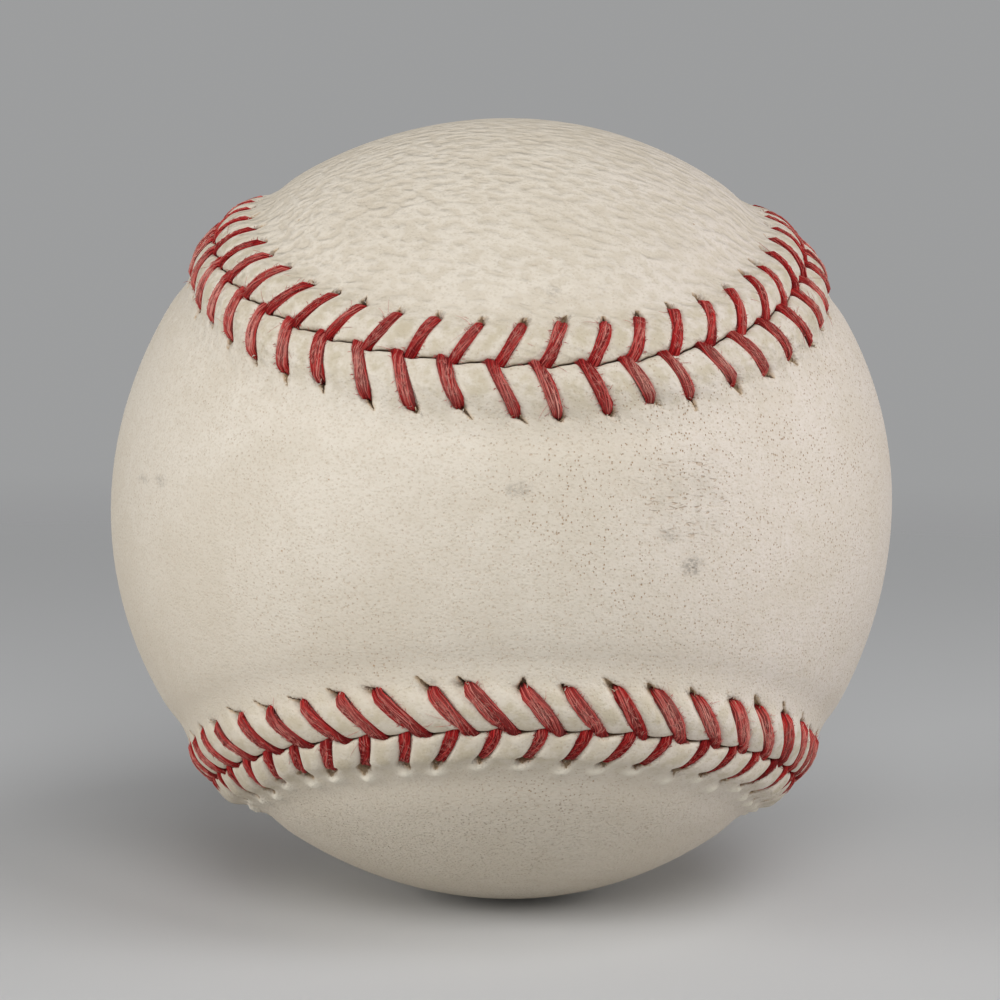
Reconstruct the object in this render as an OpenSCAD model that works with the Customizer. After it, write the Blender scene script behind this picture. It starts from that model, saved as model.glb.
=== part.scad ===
// Stitched leather ball with a cushioned cork centre, in millimetres.
// Origin at the ball's centre, +Z up, -Y towards the narrow waist of the front cover panel.

/* [Cushioned cork centre] */
// Diameter of the cork composition core
core_d = 20.64; // [16:0.02:26]
// Thickness of the black rubber half shells
black_rubber_t = 3.97; // [2.5:0.01:6]
// Thickness of the gasket between the two black halves
gasket_t = 0.8; // [0.4:0.1:2]
// Thickness of the red rubber layer
red_rubber_t = 2.38; // [1.5:0.01:4]

/* [Windings] */
// Thickness of the first winding, four-ply grey wool
first_winding_t = 14.66; // [10:0.01:18]
// Thickness of the second winding, three-ply white wool
second_winding_t = 1.77; // [1:0.01:4]
// Thickness of the third winding, three-ply grey wool
third_winding_t = 2.27; // [1:0.01:4]
// Thickness of the winding of fine white finishing yarn
finishing_yarn_t = 0.51; // [0.3:0.01:2]

/* [Cover] */
// Thickness of the cement coat over the finishing yarn
cement_t = 0.05; // [0.03:0.01:0.3]
// Thickness of the leather
cover_t = 1.27; // [0.9:0.01:2]
// Gap between the two panels' cut edges at the seam
seam_gap = 0.3; // [0.2:0.05:0.8]
// Height of the leather lip that the stitches raise beside the seam
lip_h = 0.9; // [0.4:0.05:1.6]
// Distance from the seam at which the lip has died away
lip_w = 6; // [5.2:0.1:8]

/* [Stitching] */
// Number of double stitches round the seam
stitch_count = 108; // [88:4:120]
// Distance from the seam to the stitch holes, across the leather
stitch_reach = 4.5; // [3:0.1:5]
// Distance along the seam from a stitch's dive to its hole
stitch_slant = 2.6; // [1:0.1:3]
// Distance along the seam between the two stitches of a pair
pair_offset = 1; // [0.9:0.05:1.8]
// Width of the thread where it lies on the leather
thread_w = 1.25; // [0.7:0.05:1.4]
// Thickness of the thread
thread_t = 0.8; // [0.4:0.05:1]

/* [Hidden] */
$fn = 96;

// Clearance between two round layers, and between the cement and the faceted leather
layer_clearance = 0.02;
cover_clearance = 0.1;

// Radius of each layer's outside, from the core outwards
core_r = core_d / 2;
black_r = core_r + black_rubber_t;
red_r = black_r + red_rubber_t;
first_r = red_r + first_winding_t;
second_r = first_r + second_winding_t;
third_r = second_r + third_winding_t;
finish_r = third_r + finishing_yarn_t;
cement_r = finish_r + cement_t;
flesh_r = cement_r + cover_clearance;
cover_r = flesh_r + cover_t;

// Seam curve: how far it swings to each side of a great circle, and how square its corners are
seam_swing_share = 0.4423;
seam_corner_share = 0.0262;
trace_step = 1;

// Cross-section of the raised lip, from the cut edge inwards, as shares of lip_w and lip_h
lip_across_shares = [0, 0.14, 0.3, 0.5, 0.75, 1];
lip_height_shares = [0.2, 0.78, 1, 0.76, 0.3, 0];
lip_table = [for (i = [0 : len(lip_across_shares) - 1]) [lip_across_shares[i], lip_height_shares[i]]];

// Facets: columns round the seam, and rows across the middle of a panel
edge_columns = 108;
middle_rows = 10;
thread_sides = 6;

// Thread: where it crosses the lip, how deep it dives, how much narrower it is in the seam and at its
// holes, how flat it lies under the leather, and how far its two ends are tucked
crest_share = 0.22;
dive_share = 0.5;
pinch_share = 0.7;
mouth_share = 0.85;
buried_share = 0.6;
tail_share = 0.4;
buried_t = thread_t * buried_share;
buried_r = cement_r + layer_clearance + buried_t / 2;
dive_r = cover_r + lip_h * lip_height_shares[0] - cover_t * dive_share;

// Seam curve on the unit ball, at turn s in degrees; s = 0 is the upper seam at the front waist
function unit(v) = v / norm(v);
function seam_dir(s) =
    let (a = 1 / (1 + seam_swing_share), b = 1 - a, e = seam_corner_share)
    unit([
        a * sin(s) + b * sin(3 * s) + e * sin(5 * s),
        -2 * sqrt(a * b) * cos(2 * s),
        a * cos(s) - b * cos(3 * s) + e * cos(5 * s)
    ]);
function seam_tangent(s) = unit(seam_dir(s + trace_step) - seam_dir(s - trace_step));

// Distance run along the seam against the turn, and back
seam_run = [
    for (s = 0, run = 0; s <= 360; run = run + norm(seam_dir(s + trace_step) - seam_dir(s)), s = s + trace_step)
        [run * cover_r, s]
];
seam_length = seam_run[len(seam_run) - 1][0];
function turn_at(run) = lookup(run - seam_length * floor(run / seam_length), seam_run);

// Direction of the point that lies across mm from the seam, at run mm along it; across > 0 is the front panel
function leather_dir(run, across) =
    let (s = turn_at(run), p = seam_dir(s), angle = across / cover_r * 180 / PI)
    p * cos(angle) + cross(seam_tangent(s), p) * sin(angle);

function lip_rise(across) = lip_h * lookup(across / lip_w, lip_table);

// A cover panel: closed rings along its edge, then columns that bridge the last ring from side to side
ring_count = len(lip_across_shares);
function ring_across(k) = seam_gap / 2 + (lip_w - seam_gap / 2) * lip_across_shares[k];
function ring_point(k, i, side, r) =
    (r + lip_h * lip_height_shares[k]) * leather_dir(i * seam_length / edge_columns, side * ring_across(k));
function wrap(i) = (i + 2 * edge_columns) % edge_columns;
function slerp(p, q, share) =
    let (angle = acos(min(1, p * q / norm(p) / norm(q))))
    (p * sin((1 - share) * angle) + q * sin(share * angle)) / sin(angle);

// tip is the column at one end of the panel's lobe, where the two sides of the seam meet
function tip(side) = side > 0 ? edge_columns / 4 : 0;
function sheet_points(side, r) = concat(
    [for (k = [0 : ring_count - 1]) for (i = [0 : edge_columns - 1]) ring_point(k, i, side, r)],
    [for (q = [1 : edge_columns / 2 - 1]) for (j = [1 : middle_rows - 1])
        slerp(ring_point(ring_count - 1, wrap(tip(side) + q), side, r),
              ring_point(ring_count - 1, wrap(tip(side) - q), side, r), j / middle_rows)]
);
function column(side, q) = [
    for (j = [0 : middle_rows])
        j == 0 || q == 0 || q == edge_columns / 2 ? (ring_count - 1) * edge_columns + wrap(tip(side) + q)
        : j == middle_rows ? (ring_count - 1) * edge_columns + wrap(tip(side) - q)
        : ring_count * edge_columns + (q - 1) * (middle_rows - 1) + j - 1
];
function quad(a, b, c, d) = [
    for (f = [[a, b, c], [a, c, d]]) if (f[0] != f[1] && f[1] != f[2] && f[2] != f[0]) f
];
function strip(first, second) = [
    for (i = [0 : len(first) - 2]) for (f = quad(first[i], second[i], second[i + 1], first[i + 1])) f
];
function ring(k, offset = 0) = [for (i = [0 : edge_columns]) offset + k * edge_columns + i % edge_columns];
function sheet_faces(side) = concat(
    [for (k = [0 : ring_count - 2]) for (f = strip(ring(k + 1), ring(k))) side > 0 ? f : [f[0], f[2], f[1]]],
    [for (q = [0 : edge_columns / 2 - 1]) for (f = strip(column(side, q), column(side, q + 1)))
        side > 0 ? f : [f[0], f[2], f[1]]]
);
module cover_panel(side) {
    hair = sheet_points(side, cover_r);
    flesh = sheet_points(side, flesh_r);
    n = len(hair);
    outside = sheet_faces(side);
    inside = [for (f = outside) [f[0] + n, f[2] + n, f[1] + n]];
    edge = [for (f = strip(ring(0), ring(0, n))) side > 0 ? f : [f[0], f[2], f[1]]];
    polyhedron(points = concat(hair, flesh), faces = concat(outside, inside, edge));
}

// The thread's route as [run along the seam, distance across it, radius, share of the thread's width]
pitch = seam_length / stitch_count;
crest_across = crest_share * lip_w;
function dive_run(side, i) = i * pitch + (side > 0 ? 0 : pair_offset);
function hole_run(side, i) = dive_run(side, i) + stitch_slant;
function stitch(side, i) =
    let (hole = hole_run(side, i), dive = dive_run(side, i), over = crest_across / stitch_reach)
    [
        [hole, side * stitch_reach, buried_r, pinch_share],
        [hole, side * stitch_reach, cover_r + lip_rise(stitch_reach) + thread_t / 2, mouth_share],
        [dive + (hole - dive) * over, side * crest_across, cover_r + lip_h + thread_t / 2, 1],
        [dive, 0, dive_r, pinch_share]
    ];
// One needle's stitches, on the two panels by turns, with its end tucked under the leather
function needle_run(side) = concat(
    [for (j = [0 : stitch_count - 1]) for (p = stitch(j % 2 == 0 ? side : -side, stitch_count - 1 - j)) p],
    [[dive_run(-side, 0) + (hole_run(side, -1) - dive_run(-side, 0)) * tail_share,
      side * stitch_reach * tail_share, buried_r, pinch_share]]
);
function reversed(list) = [for (i = [len(list) - 1 : -1 : 0]) list[i]];
link_run = hole_run(1, stitch_count - 1) - pair_offset / 4;
route = concat(
    reversed(needle_run(-1)),
    [[link_run, 0, buried_r, pinch_share]],
    needle_run(1)
);
route_points = [for (p = route) p[2] * leather_dir(p[0], p[1])];
function route_heading(i) =
    let (last = len(route) - 1)
    unit((i > 0 ? unit(route_points[i] - route_points[i - 1]) : [0, 0, 0])
        + (i < last ? unit(route_points[i + 1] - route_points[i]) : [0, 0, 0]));
function thread_ring(i) =
    let (
        heading = route_heading(i),
        along = seam_tangent(turn_at(route[i][0])),
        flat = unit(along - (along * heading) * heading),
        stand = cross(heading, flat),
        w = thread_w * route[i][3],
        t = route[i][2] == buried_r ? buried_t : thread_t
    )
    [for (a = [0 : 360 / thread_sides : 359]) route_points[i] + flat * cos(a) * w / 2 + stand * sin(a) * t / 2];
thread_length = seam_thread_length(1, 0);
function seam_thread_length(i, sum) =
    i == len(route_points) ? sum : seam_thread_length(i + 1, sum + norm(route_points[i] - route_points[i - 1]));

// A hollow round layer
module layer(r, inside_r) {
    difference() {
        sphere(r = r);
        sphere(r = inside_r + layer_clearance);
    }
}
// One half of a hollow round layer, cut level at the gasket
module half_layer(r, inside_r, cut) {
    rotate_extrude()
        intersection() {
            difference() {
                circle(r = r);
                circle(r = inside_r + layer_clearance);
            }
            translate([0, cut])
                square([r, r]);
        }
}

module cork_core() {
    color("peru") sphere(r = core_r);
}
module black_rubber_half_lower() {
    color("dimgray") mirror([0, 0, 1]) half_layer(black_r, core_r, gasket_t / 2 + layer_clearance);
}
module black_rubber_half_upper() {
    color("dimgray") half_layer(black_r, core_r, gasket_t / 2 + layer_clearance);
}
module rubber_gasket() {
    color("firebrick")
        rotate_extrude()
            translate([core_r + layer_clearance, -gasket_t / 2])
                square([black_rubber_t - 2 * layer_clearance, gasket_t]);
}
module red_rubber_layer() {
    color("indianred") layer(red_r, black_r);
}
module first_wool_winding() {
    color("gray") layer(first_r, red_r);
}
module second_wool_winding() {
    color("whitesmoke") layer(second_r, first_r);
}
module third_wool_winding() {
    color("darkgray") layer(third_r, second_r);
}
module finishing_yarn_winding() {
    color("white") layer(finish_r, third_r);
}
module cement_coat() {
    color("wheat") layer(cement_r, finish_r);
}
module front_cover_panel() {
    color("antiquewhite") cover_panel(1);
}
module back_cover_panel() {
    color("linen") cover_panel(-1);
}
module seam_thread() {
    n = len(route_points);
    function hoop(i) = [for (j = [0 : thread_sides]) i * thread_sides + j % thread_sides];
    color("crimson")
        polyhedron(
            points = [for (i = [0 : n - 1]) for (p = thread_ring(i)) p],
            faces = concat(
                [for (i = [0 : n - 2]) for (f = strip(hoop(i), hoop(i + 1))) f],
                [for (j = [1 : thread_sides - 2]) [0, j, j + 1]],
                [for (j = [1 : thread_sides - 2]) (n - 1) * thread_sides * [1, 1, 1] + [0, j + 1, j]]
            )
        );
    echo(thread_length = thread_length, seam_length = seam_length, pitch = pitch);
}

cork_core();
black_rubber_half_lower();
black_rubber_half_upper();
rubber_gasket();
red_rubber_layer();
first_wool_winding();
second_wool_winding();
third_wool_winding();
finishing_yarn_winding();
cement_coat();
front_cover_panel();
back_cover_panel();
seam_thread();
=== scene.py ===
"""A laced leather ball: its looks, built round its solid model. Lengths are in metres, angles in radians."""

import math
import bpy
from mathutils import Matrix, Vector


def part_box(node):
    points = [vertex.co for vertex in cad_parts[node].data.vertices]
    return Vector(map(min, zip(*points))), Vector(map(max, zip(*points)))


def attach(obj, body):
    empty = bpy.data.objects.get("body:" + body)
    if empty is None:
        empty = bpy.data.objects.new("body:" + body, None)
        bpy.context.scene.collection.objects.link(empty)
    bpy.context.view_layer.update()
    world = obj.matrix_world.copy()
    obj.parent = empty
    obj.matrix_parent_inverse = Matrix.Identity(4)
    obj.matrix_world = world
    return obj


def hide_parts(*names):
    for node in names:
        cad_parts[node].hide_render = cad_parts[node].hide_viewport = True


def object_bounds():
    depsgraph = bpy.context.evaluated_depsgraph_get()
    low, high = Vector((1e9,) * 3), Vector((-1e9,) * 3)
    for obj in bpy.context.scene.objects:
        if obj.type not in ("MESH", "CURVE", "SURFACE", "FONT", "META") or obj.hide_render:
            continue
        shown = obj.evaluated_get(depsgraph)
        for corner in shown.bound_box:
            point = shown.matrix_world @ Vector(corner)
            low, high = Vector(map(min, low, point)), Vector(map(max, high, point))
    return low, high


bl_info = {
    "name": "Laced Leather Ball",
    "version": (1, 0, 0),
    "blender": (4, 5, 0),
    "location": "3D View > Sidebar > Ball",
    "description": "Leather cover, laced seam and wound core of a ball, on its solid model",
    "category": "Add Mesh",
}

from types import SimpleNamespace

import bmesh
import bpy
import numpy as np
from bpy.props import FloatProperty, FloatVectorProperty, IntProperty, PointerProperty
from bpy.types import Operator, Panel, PropertyGroup
from mathutils import Matrix, Vector

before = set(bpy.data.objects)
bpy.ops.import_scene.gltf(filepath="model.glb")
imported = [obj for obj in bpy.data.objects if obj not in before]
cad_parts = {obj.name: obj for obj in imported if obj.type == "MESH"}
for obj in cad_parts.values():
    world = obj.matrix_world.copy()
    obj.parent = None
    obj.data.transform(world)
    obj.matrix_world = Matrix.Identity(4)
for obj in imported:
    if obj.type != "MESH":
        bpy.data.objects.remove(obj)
CAD_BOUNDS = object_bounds()

MM = 0.001
BODY = "root"
FRONT, BACK = 1, -1
FLESH_GAP = 0.1 * MM
COVER_RADIUS = -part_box("front_cover_panel")[0].y
FLESH_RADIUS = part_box("cement_coat")[1].z + FLESH_GAP
FLOOR_HEIGHT = CAD_BOUNDS[0].z

# The seam curve, as in the solid model: its swing to each side of a great circle and its square corners
SEAM_SWING_SHARE = 0.4423
SEAM_CORNER_SHARE = 0.0262
TRACE_POINTS = 3601
TRACE_STEP = 0.0001

# Rows of the cover's mesh as shares of the way from the seam to the hole, and from 1 to 2 past the hole
RING_SHARES = (
    2, 1.83, 1.68, 1.55, 1.44, 1.35, 1.28, 1.22, 1.17, 1.12, 1.08, 1.04, 1, 0.96, 0.9, 0.83,
    0.75, 0.67, 0.58, 0.49, 0.4, 0.31, 0.23, 0.16, 0.11, 0.07, 0.04, 0.014,
)
# The rows that follow them down the cut edge and back along the flesh side: place, and share of the depth
FLESH_ROWS = ((0.014, 0.35), (0.014, 1), (0.3, 1), (1, 1), (2, 1))
COLUMNS_PER_STITCH = 18
COLUMN_EASE = 0.45
MIDDLE_ROWS = 26
MIDDLE_FLESH_ROWS = 4
MERGE_DISTANCE = 0.0001 * MM

# Rings of a visible stitch as shares of its way from seam to hole; both its ends lie under the leather
STITCH_SHARES = (-0.06, -0.02, 0.05, 0.16, 0.3, 0.46, 0.62, 0.78, 0.9, 0.97, 1.04)

# Each panel's stitches: a form's first number holds in the middle of the upper front seam, and its second is
# what it gains by the middle of the lower front seam. Lengths are in millimetres, the rest shares.
STITCH_FORMS = {
    FRONT: {"reach": (0, 0), "sway": (0, -0.27), "width": (1, 0.18), "sink": (0, 0), "pillow": (1, 0.2),
            "pillow_power": (0.6, 0.1), "wear": (0.85, -0.12), "bow": (0.03, 0), "slit_length": (1, 0),
            "slit_width": (1, 0), "slit_lean": (0.1, 0), "chance": (0, 0)},
    BACK: {"reach": (-0.05, -0.72), "sway": (0.21, 0), "width": (0.88, 0.05), "sink": (0.05, 0.4),
           "pillow": (1, 0.9), "pillow_power": (0.6, 0.5), "wear": (0.45, -0.42), "bow": (0, 0),
           "slit_length": (1, -0.1), "slit_width": (1, 1.7), "slit_lean": (-0.3, 0), "chance": (0, 0.45)},
}
# What the upper front seam adds to a form and the lower one takes from it; lengths are in millimetres
STITCH_SWINGS = {
    FRONT: {"dive": 0, "slope": -0.19, "bow": 0},
    BACK: {"dive": -0.35, "slope": 0.04, "bow": 0.15},
}
# How much a stitch varies from its neighbours: lengths in metres, the rest shares
UNEVEN = {
    "dive": 0.12 * MM, "wear": 0.14, "bow": 0.1 * MM, "reach": 0.16 * MM, "slope": 0.06,
    "width": 0.06, "bed": 0.08, "pillow": 0.2, "slit_lean": 0.3,
}
# Least and greatest size of the torn slits and the pale rims past them, in millimetres
SLIT_LENGTHS = (0.5, 1.5)
SLIT_WIDTHS = (0.14, 0.4)
RIM_HEIGHTS = (0.32, 0.55)

# The thread's pattern of fibres: how far outside a tube it is read, and the spacing of the tubes in it, in
# millimetres and so many to a row, which makes no two alike
FIBRE_RIM = 0.05 * MM
FIBRE_SPACING = 3.7
FIBRES_PER_ROW = 31

# Hairs off the sides of a stitch: rings, lengths and thickness in millimetres, and how far they stray
FRINGE_HAIRS = {"rings": 3, "lengths": (0.15, 0.65), "thickness": 0.031, "spread": 0.6}
LOOSE_HAIRS = {"rings": 5, "lengths": (0.5, 2.2), "thickness": 0.019, "spread": 1.2}
# Where on the stitch their roots lie and how far they bend, as shares, and the spans of their lift and wear
ROOT_ASIDE = 0.86
ROOT_RISE = 0.35
HAIR_BEND = 0.35
HAIR_DROOP = 0.6
HAIR_LIFT = (-0.2, 0.5)
HAIR_WEAR = (-0.1, 0.9)
# Fibres across the top of a stitch: place across it, and lengths and thickness in millimetres
FUZZ_RINGS = 4
FUZZ_PLACES = (-0.6, 0.6)
FUZZ_RISE = 1.08
FUZZ_LENGTHS = (0.4, 1.3)
FUZZ_TURN = 0.7
FUZZ_SWAY = 0.5
FUZZ_DROOP = 0.35
FUZZ_WEAR = (-0.1, 1.1)
FUZZ_THICKNESS = 0.024 * MM

# Specks in a surface: cells to a millimetre, size in shares of a cell, and share of the cells that have one
PORES = {"Cells_per_mm": 3.1, "Share": 0.92}
HAIR_HOLES = {"Cells_per_mm": 2.2, "Size": 0.13, "Share": 0.7}
DARK_SPECKS = {"Cells_per_mm": 0.23, "Size": 0.03, "Share": 0.75}
LEATHER_DUST = {"Cells_per_mm": 0.6, "Size": 0.045, "Share": 0.4}
RUBBER_DUST = {"Cells_per_mm": 1.4, "Size": 0.12, "Share": 0.3}
RUBBER_GRAINS = {"Cells_per_mm": 0.5, "Size": 0.3, "Share": 0.3}

# Stretches of the ball, in millimetres from its centre, over which a look sets in
UPPER_HEIGHTS = (8.0, 24.0)
UPPER_SIDES = (22.0, 34.0)
UNDERSIDE_HEIGHTS = (-20.0, -28.0)
ROSY_SIDE = (0.0, 24.0)
POROUS_SIDE = (-24.0, 14.0)
AGED_HEIGHTS = (0.0, -30.0)

# Dirt rubbed into the leather: place on the ball and size of the patch as shares of its radius, and strength
SMUDGES = (
    ((-0.088, -0.874, 0.478), (0.022, 0.02, 0.018), 0.75),
    ((-0.016, -0.99, 0.14), (0.036, 0.03, 0.022), 0.4),
    ((0.326, -0.945, 0.037), (0.028, 0.03, 0.018), 0.35),
    ((0.38, -0.924, -0.038), (0.034, 0.03, 0.026), 0.6),
    ((-0.845, -0.524, 0.11), (0.03, 0.03, 0.024), 0.4),
    ((-0.89, -0.44, 0.107), (0.045, 0.045, 0.011), 0.3),
    ((0.064, -0.814, 0.578), (0.024, 0.02, 0.014), 0.4),
    ((-0.209, -0.929, -0.305), (0.02, 0.02, 0.012), 0.5),
)
# Where the hide was folded and its creases show: place and size as shares of the radius
FOLDED = ((0.37, -0.915, 0.12), (0.15, 0.15, 0.13))

# Colours that only one finish uses
LIFTED_FILM = (0.5, 0.44, 0.36)
# Dirt and painted shade in the seam gap
SEAM_GRIME_AND_SHADE = (0.14, 0.085, 0.045)
# Painted shade inside the shallow holes
SHALLOW_HOLE_SHADE = (0.33, 0.235, 0.14)
# The thread's darkest strands, and painted shade in its fibre gaps, at its sides and on the plies
DARK_THREAD_AND_SHADE = (0.09, 0.003, 0.004)
TORN_FILM = (0.66, 0.61, 0.53)
TORN_BROWN = (0.2, 0.15, 0.09)
TORN_DIRT = (0.34, 0.27, 0.18)
CORK_DARK, CORK_PALE = (0.36, 0.2, 0.1), (0.62, 0.42, 0.24)
CORK_RUBBER = (0.04, 0.035, 0.03)
CEMENT_THIN, CEMENT_THICK = (0.72, 0.62, 0.42), (0.58, 0.46, 0.26)

# Moulded rubbers: colour, and colour of the bloom and dust on it
RUBBERS = {
    "black_rubber": ((0.03, 0.03, 0.032), (0.09, 0.09, 0.09)),
    "red_rubber": ((0.42, 0.06, 0.045), (0.5, 0.16, 0.12)),
}
# Wound yarns: colour, painted shade between the turns, and width
YARNS = {
    "grey_wool": ((0.4, 0.39, 0.37), (0.12, 0.115, 0.11), 1.1 * MM),
    "white_wool": ((0.8, 0.77, 0.7), (0.4, 0.37, 0.32), 0.9 * MM),
    "finishing_yarn": ((0.85, 0.82, 0.75), (0.5, 0.46, 0.4), 0.4 * MM),
}
# The solid model's layers inside the cover, and the material of each
CORE_LAYERS = {
    "cork_core": "cork",
    "black_rubber_half_lower": "black_rubber",
    "black_rubber_half_upper": "black_rubber",
    "rubber_gasket": "red_rubber",
    "red_rubber_layer": "red_rubber",
    "first_wool_winding": "grey_wool",
    "second_wool_winding": "white_wool",
    "third_wool_winding": "grey_wool",
    "finishing_yarn_winding": "finishing_yarn",
    "cement_coat": "cement",
}

# Places of the lamps; the stage's settings give their powers
LAMP_PLACES = {
    "left": (-0.7, -0.22, 0.17),
    "right": (0.74, -0.08, 0.19),
    "front": (0.03, -0.62, 0.42),
    "top": (0.36, -0.34, 0.64),
}
LAMP_SIZE = 0.36


def unit(vectors):
    """The vectors at length 1."""
    return vectors / np.linalg.norm(vectors, axis=-1, keepdims=True)


def smooth_step(value, low, high):
    """0 below low, 1 above high, and a smooth rise between them."""
    share = np.clip((value - low) / (high - low), 0, 1)
    return share * share * (3 - 2 * share)


def hump(value, width):
    """1 at zero, falling smoothly to nothing past width."""
    return np.exp(-((value / width) ** 2))


def plateau(value, width):
    """Near 1 within width and near 0 past it, with steep smooth sides."""
    return np.exp(-((value / width) ** 4))


def number_setting(name, description, default, unit="NONE"):
    """A number that the user can set."""
    return FloatProperty(name=name, description=description, default=default, unit=unit)


def length_setting(name, description, default):
    """A length that the user can set."""
    return number_setting(name, description, default, "LENGTH")


def count_setting(name, description, default):
    """A whole number that the user can set."""
    return IntProperty(name=name, description=description, default=default)


def colour_setting(name, description, default):
    """A colour that the user can set."""
    return FloatVectorProperty(name=name, description=description, default=default, subtype="COLOR")


class CoverSettings(PropertyGroup):
    """Shape of the leather beside the seam."""

    lip_height: length_setting("Lip height", "How far the stitches raise the leather by the seam", 0.9 * MM)
    lip_crest: length_setting("Lip crest", "Distance from the seam to the highest part of the lip", 1.8 * MM)
    lip_spread: length_setting("Lip spread", "How far the lip takes to die away past its crest", 2 * MM)
    edge_drop: length_setting("Edge drop", "How far the lip rolls down at its cut edge", 0.5 * MM)
    edge_round: length_setting("Edge round", "Distance in which the lip rolls down", 0.1 * MM)
    dip_depth: length_setting("Dip depth", "How far the leather sinks just past the holes", 0.2 * MM)
    bed_depth: length_setting("Bed depth", "How far a stitch presses into the leather", 0.4 * MM)
    pillow_height: length_setting(
        "Pillow height", "How far the leather puffs up between two stitches", 0.2 * MM)
    hole_depth: length_setting("Hole depth", "Depth of the slit that a stitch tears at its hole", 0.35 * MM)
    waviness: length_setting("Waviness", "How far the leather departs from a true sphere", 0.045 * MM)
    ring_width: length_setting("Ring width", "Width of the finely meshed leather along the seam", 9 * MM)


class LacingSettings(PropertyGroup):
    """The red lacing."""

    stitches: count_setting("Stitches", "Double stitches round the seam", 108)
    seed: count_setting("Seed", "Seed of all the irregularities", 11)
    reach: length_setting("Reach", "Distance from the seam to where a stitch sinks in its hole", 3.85 * MM)
    front_slope: number_setting("Front slope", "Mean lean of the front panel's stitches", 0.66)
    back_slope: number_setting("Back slope", "Mean lean of the back panel's stitches", 0.5)
    start: length_setting("Start", "Distance along the seam of the first dive", 0.6 * MM)
    pair_offset: length_setting(
        "Pair offset", "Mean distance along the seam between a pair's two dives", 1.15 * MM)
    zigzag: length_setting("Zigzag", "How far each pair pulls the seam line sideways", 0.28 * MM)
    thread_width: length_setting("Thread width", "Width of the thread pressed flat", 1.24 * MM)
    thread_thickness: length_setting("Thread thickness", "Thickness of the thread pressed flat", 0.72 * MM)
    twist_pitch: length_setting("Twist pitch", "Length of thread in which its plies turn once", 11 * MM)
    strands: count_setting("Strands", "Fine strands that show on each ply of a stitch", 10)
    fringe: count_setting("Fringe", "Short fibre ends along the sides of each stitch", 36)
    fuzz: count_setting("Fuzz", "Pale fibres lying across each stitch", 40)
    hairs: count_setting("Hairs", "Long loose hairs off each stitch", 3)


class ColourSettings(PropertyGroup):
    """Colours of the leather and the thread."""

    ivory: colour_setting("Ivory", "Clean leather", (0.79, 0.718, 0.61))
    rosy: colour_setting("Rosy", "Clean leather on the ball's right side", (0.79, 0.705, 0.628))
    beige: colour_setting("Beige", "Aged leather", (0.64, 0.56, 0.44))
    stain: colour_setting("Stain", "Old stain between the stitches", (0.56, 0.48, 0.33))
    # Also painted as highlight on the raised rims past the holes and on the pillow edges beside the stitches
    scuff_and_highlight: colour_setting("Scuff", "Leather pulled pale past a hole", (0.84, 0.77, 0.64))
    pore: colour_setting("Pore", "Bottom of a pore or speck", (0.42, 0.24, 0.11))
    smudge: colour_setting("Smudge", "Dirt rubbed into the leather", (0.2, 0.175, 0.145))
    tan: colour_setting("Tan", "Raw torn edge of a hole", (0.56, 0.4, 0.24))
    # Painted shade: the inside of each slit and of the pocket past each stitch
    hole: colour_setting("Hole", "Inside of a hole", (0.07, 0.04, 0.02))
    deep_red: colour_setting("Deep red", "Unworn thread", (0.5, 0.012, 0.013))
    worn_red: colour_setting("Worn red", "Thread rubbed pale", (0.65, 0.172, 0.145))
    fuzz: colour_setting("Fuzz", "Loose fibre ends of the thread", (0.86, 0.44, 0.36))


class StageSettings(PropertyGroup):
    """Camera, lamps and floor."""

    camera_distance: length_setting("Camera distance", "From the ball's centre", 7 * COVER_RADIUS)
    camera_turn: FloatVectorProperty(
        name="Camera turn", description="Axis of the ball's turn before the camera, times its angle",
        subtype="EULER", default=(0.1012, 0.0106, 0.054))
    outline_width: number_setting(
        "Outline width", "Ball's outline in the frame, as a share of the frame's width", 0.78)
    centre_right: number_setting(
        "Centre right", "Ball's centre right of the frame's middle, as a share of its width", 0.0025)
    centre_down: number_setting(
        "Centre down", "Ball's centre below the frame's middle, as a share of its width", 0.0075)
    left_power: number_setting("Left power", "Lamp on the left", 2.76, "POWER")
    right_power: number_setting("Right power", "Lamp on the right", 1.86, "POWER")
    front_power: number_setting("Front power", "Lamp above the camera", 2.42, "POWER")
    top_power: number_setting("Top power", "Lamp over the ball", 1.45, "POWER")
    sky: number_setting("Sky", "Strength of the even light from all round", 0.1)
    floor: colour_setting("Floor", "Colour of the floor", (0.62, 0.625, 0.63))
    backdrop: colour_setting("Backdrop", "Colour behind the floor", (0.335, 0.338, 0.341))


class Seam:
    """The seam's line on the cover. A run is a length along it, from the middle of the upper front seam."""

    def __init__(self, radius):
        self.radius = radius
        self.turns = np.linspace(0, 2 * np.pi, TRACE_POINTS)
        steps = np.linalg.norm(np.diff(self.direction(self.turns), axis=0), axis=1)
        self.runs = np.concatenate([[0], np.cumsum(steps)]) * radius
        self.length = self.runs[-1]

    def direction(self, turn):
        """Direction of the seam from the ball's centre."""
        a = 1 / (1 + SEAM_SWING_SHARE)
        b = 1 - a
        e = SEAM_CORNER_SHARE
        return unit(np.stack([
            a * np.sin(turn) + b * np.sin(3 * turn) + e * np.sin(5 * turn),
            -2 * math.sqrt(a * b) * np.cos(2 * turn),
            a * np.cos(turn) - b * np.cos(3 * turn) + e * np.cos(5 * turn),
        ], axis=-1))

    def beside(self, run, across):
        """Direction of the point across from the seam at that run; across is positive on the front panel."""
        turn = np.interp(run % self.length, self.runs, self.turns)
        point = self.direction(turn)
        along = unit(self.direction(turn + TRACE_STEP) - self.direction(turn - TRACE_STEP))
        angle = (across / self.radius)[..., None]
        return point * np.cos(angle) + np.cross(along, point) * np.sin(angle)


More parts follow.
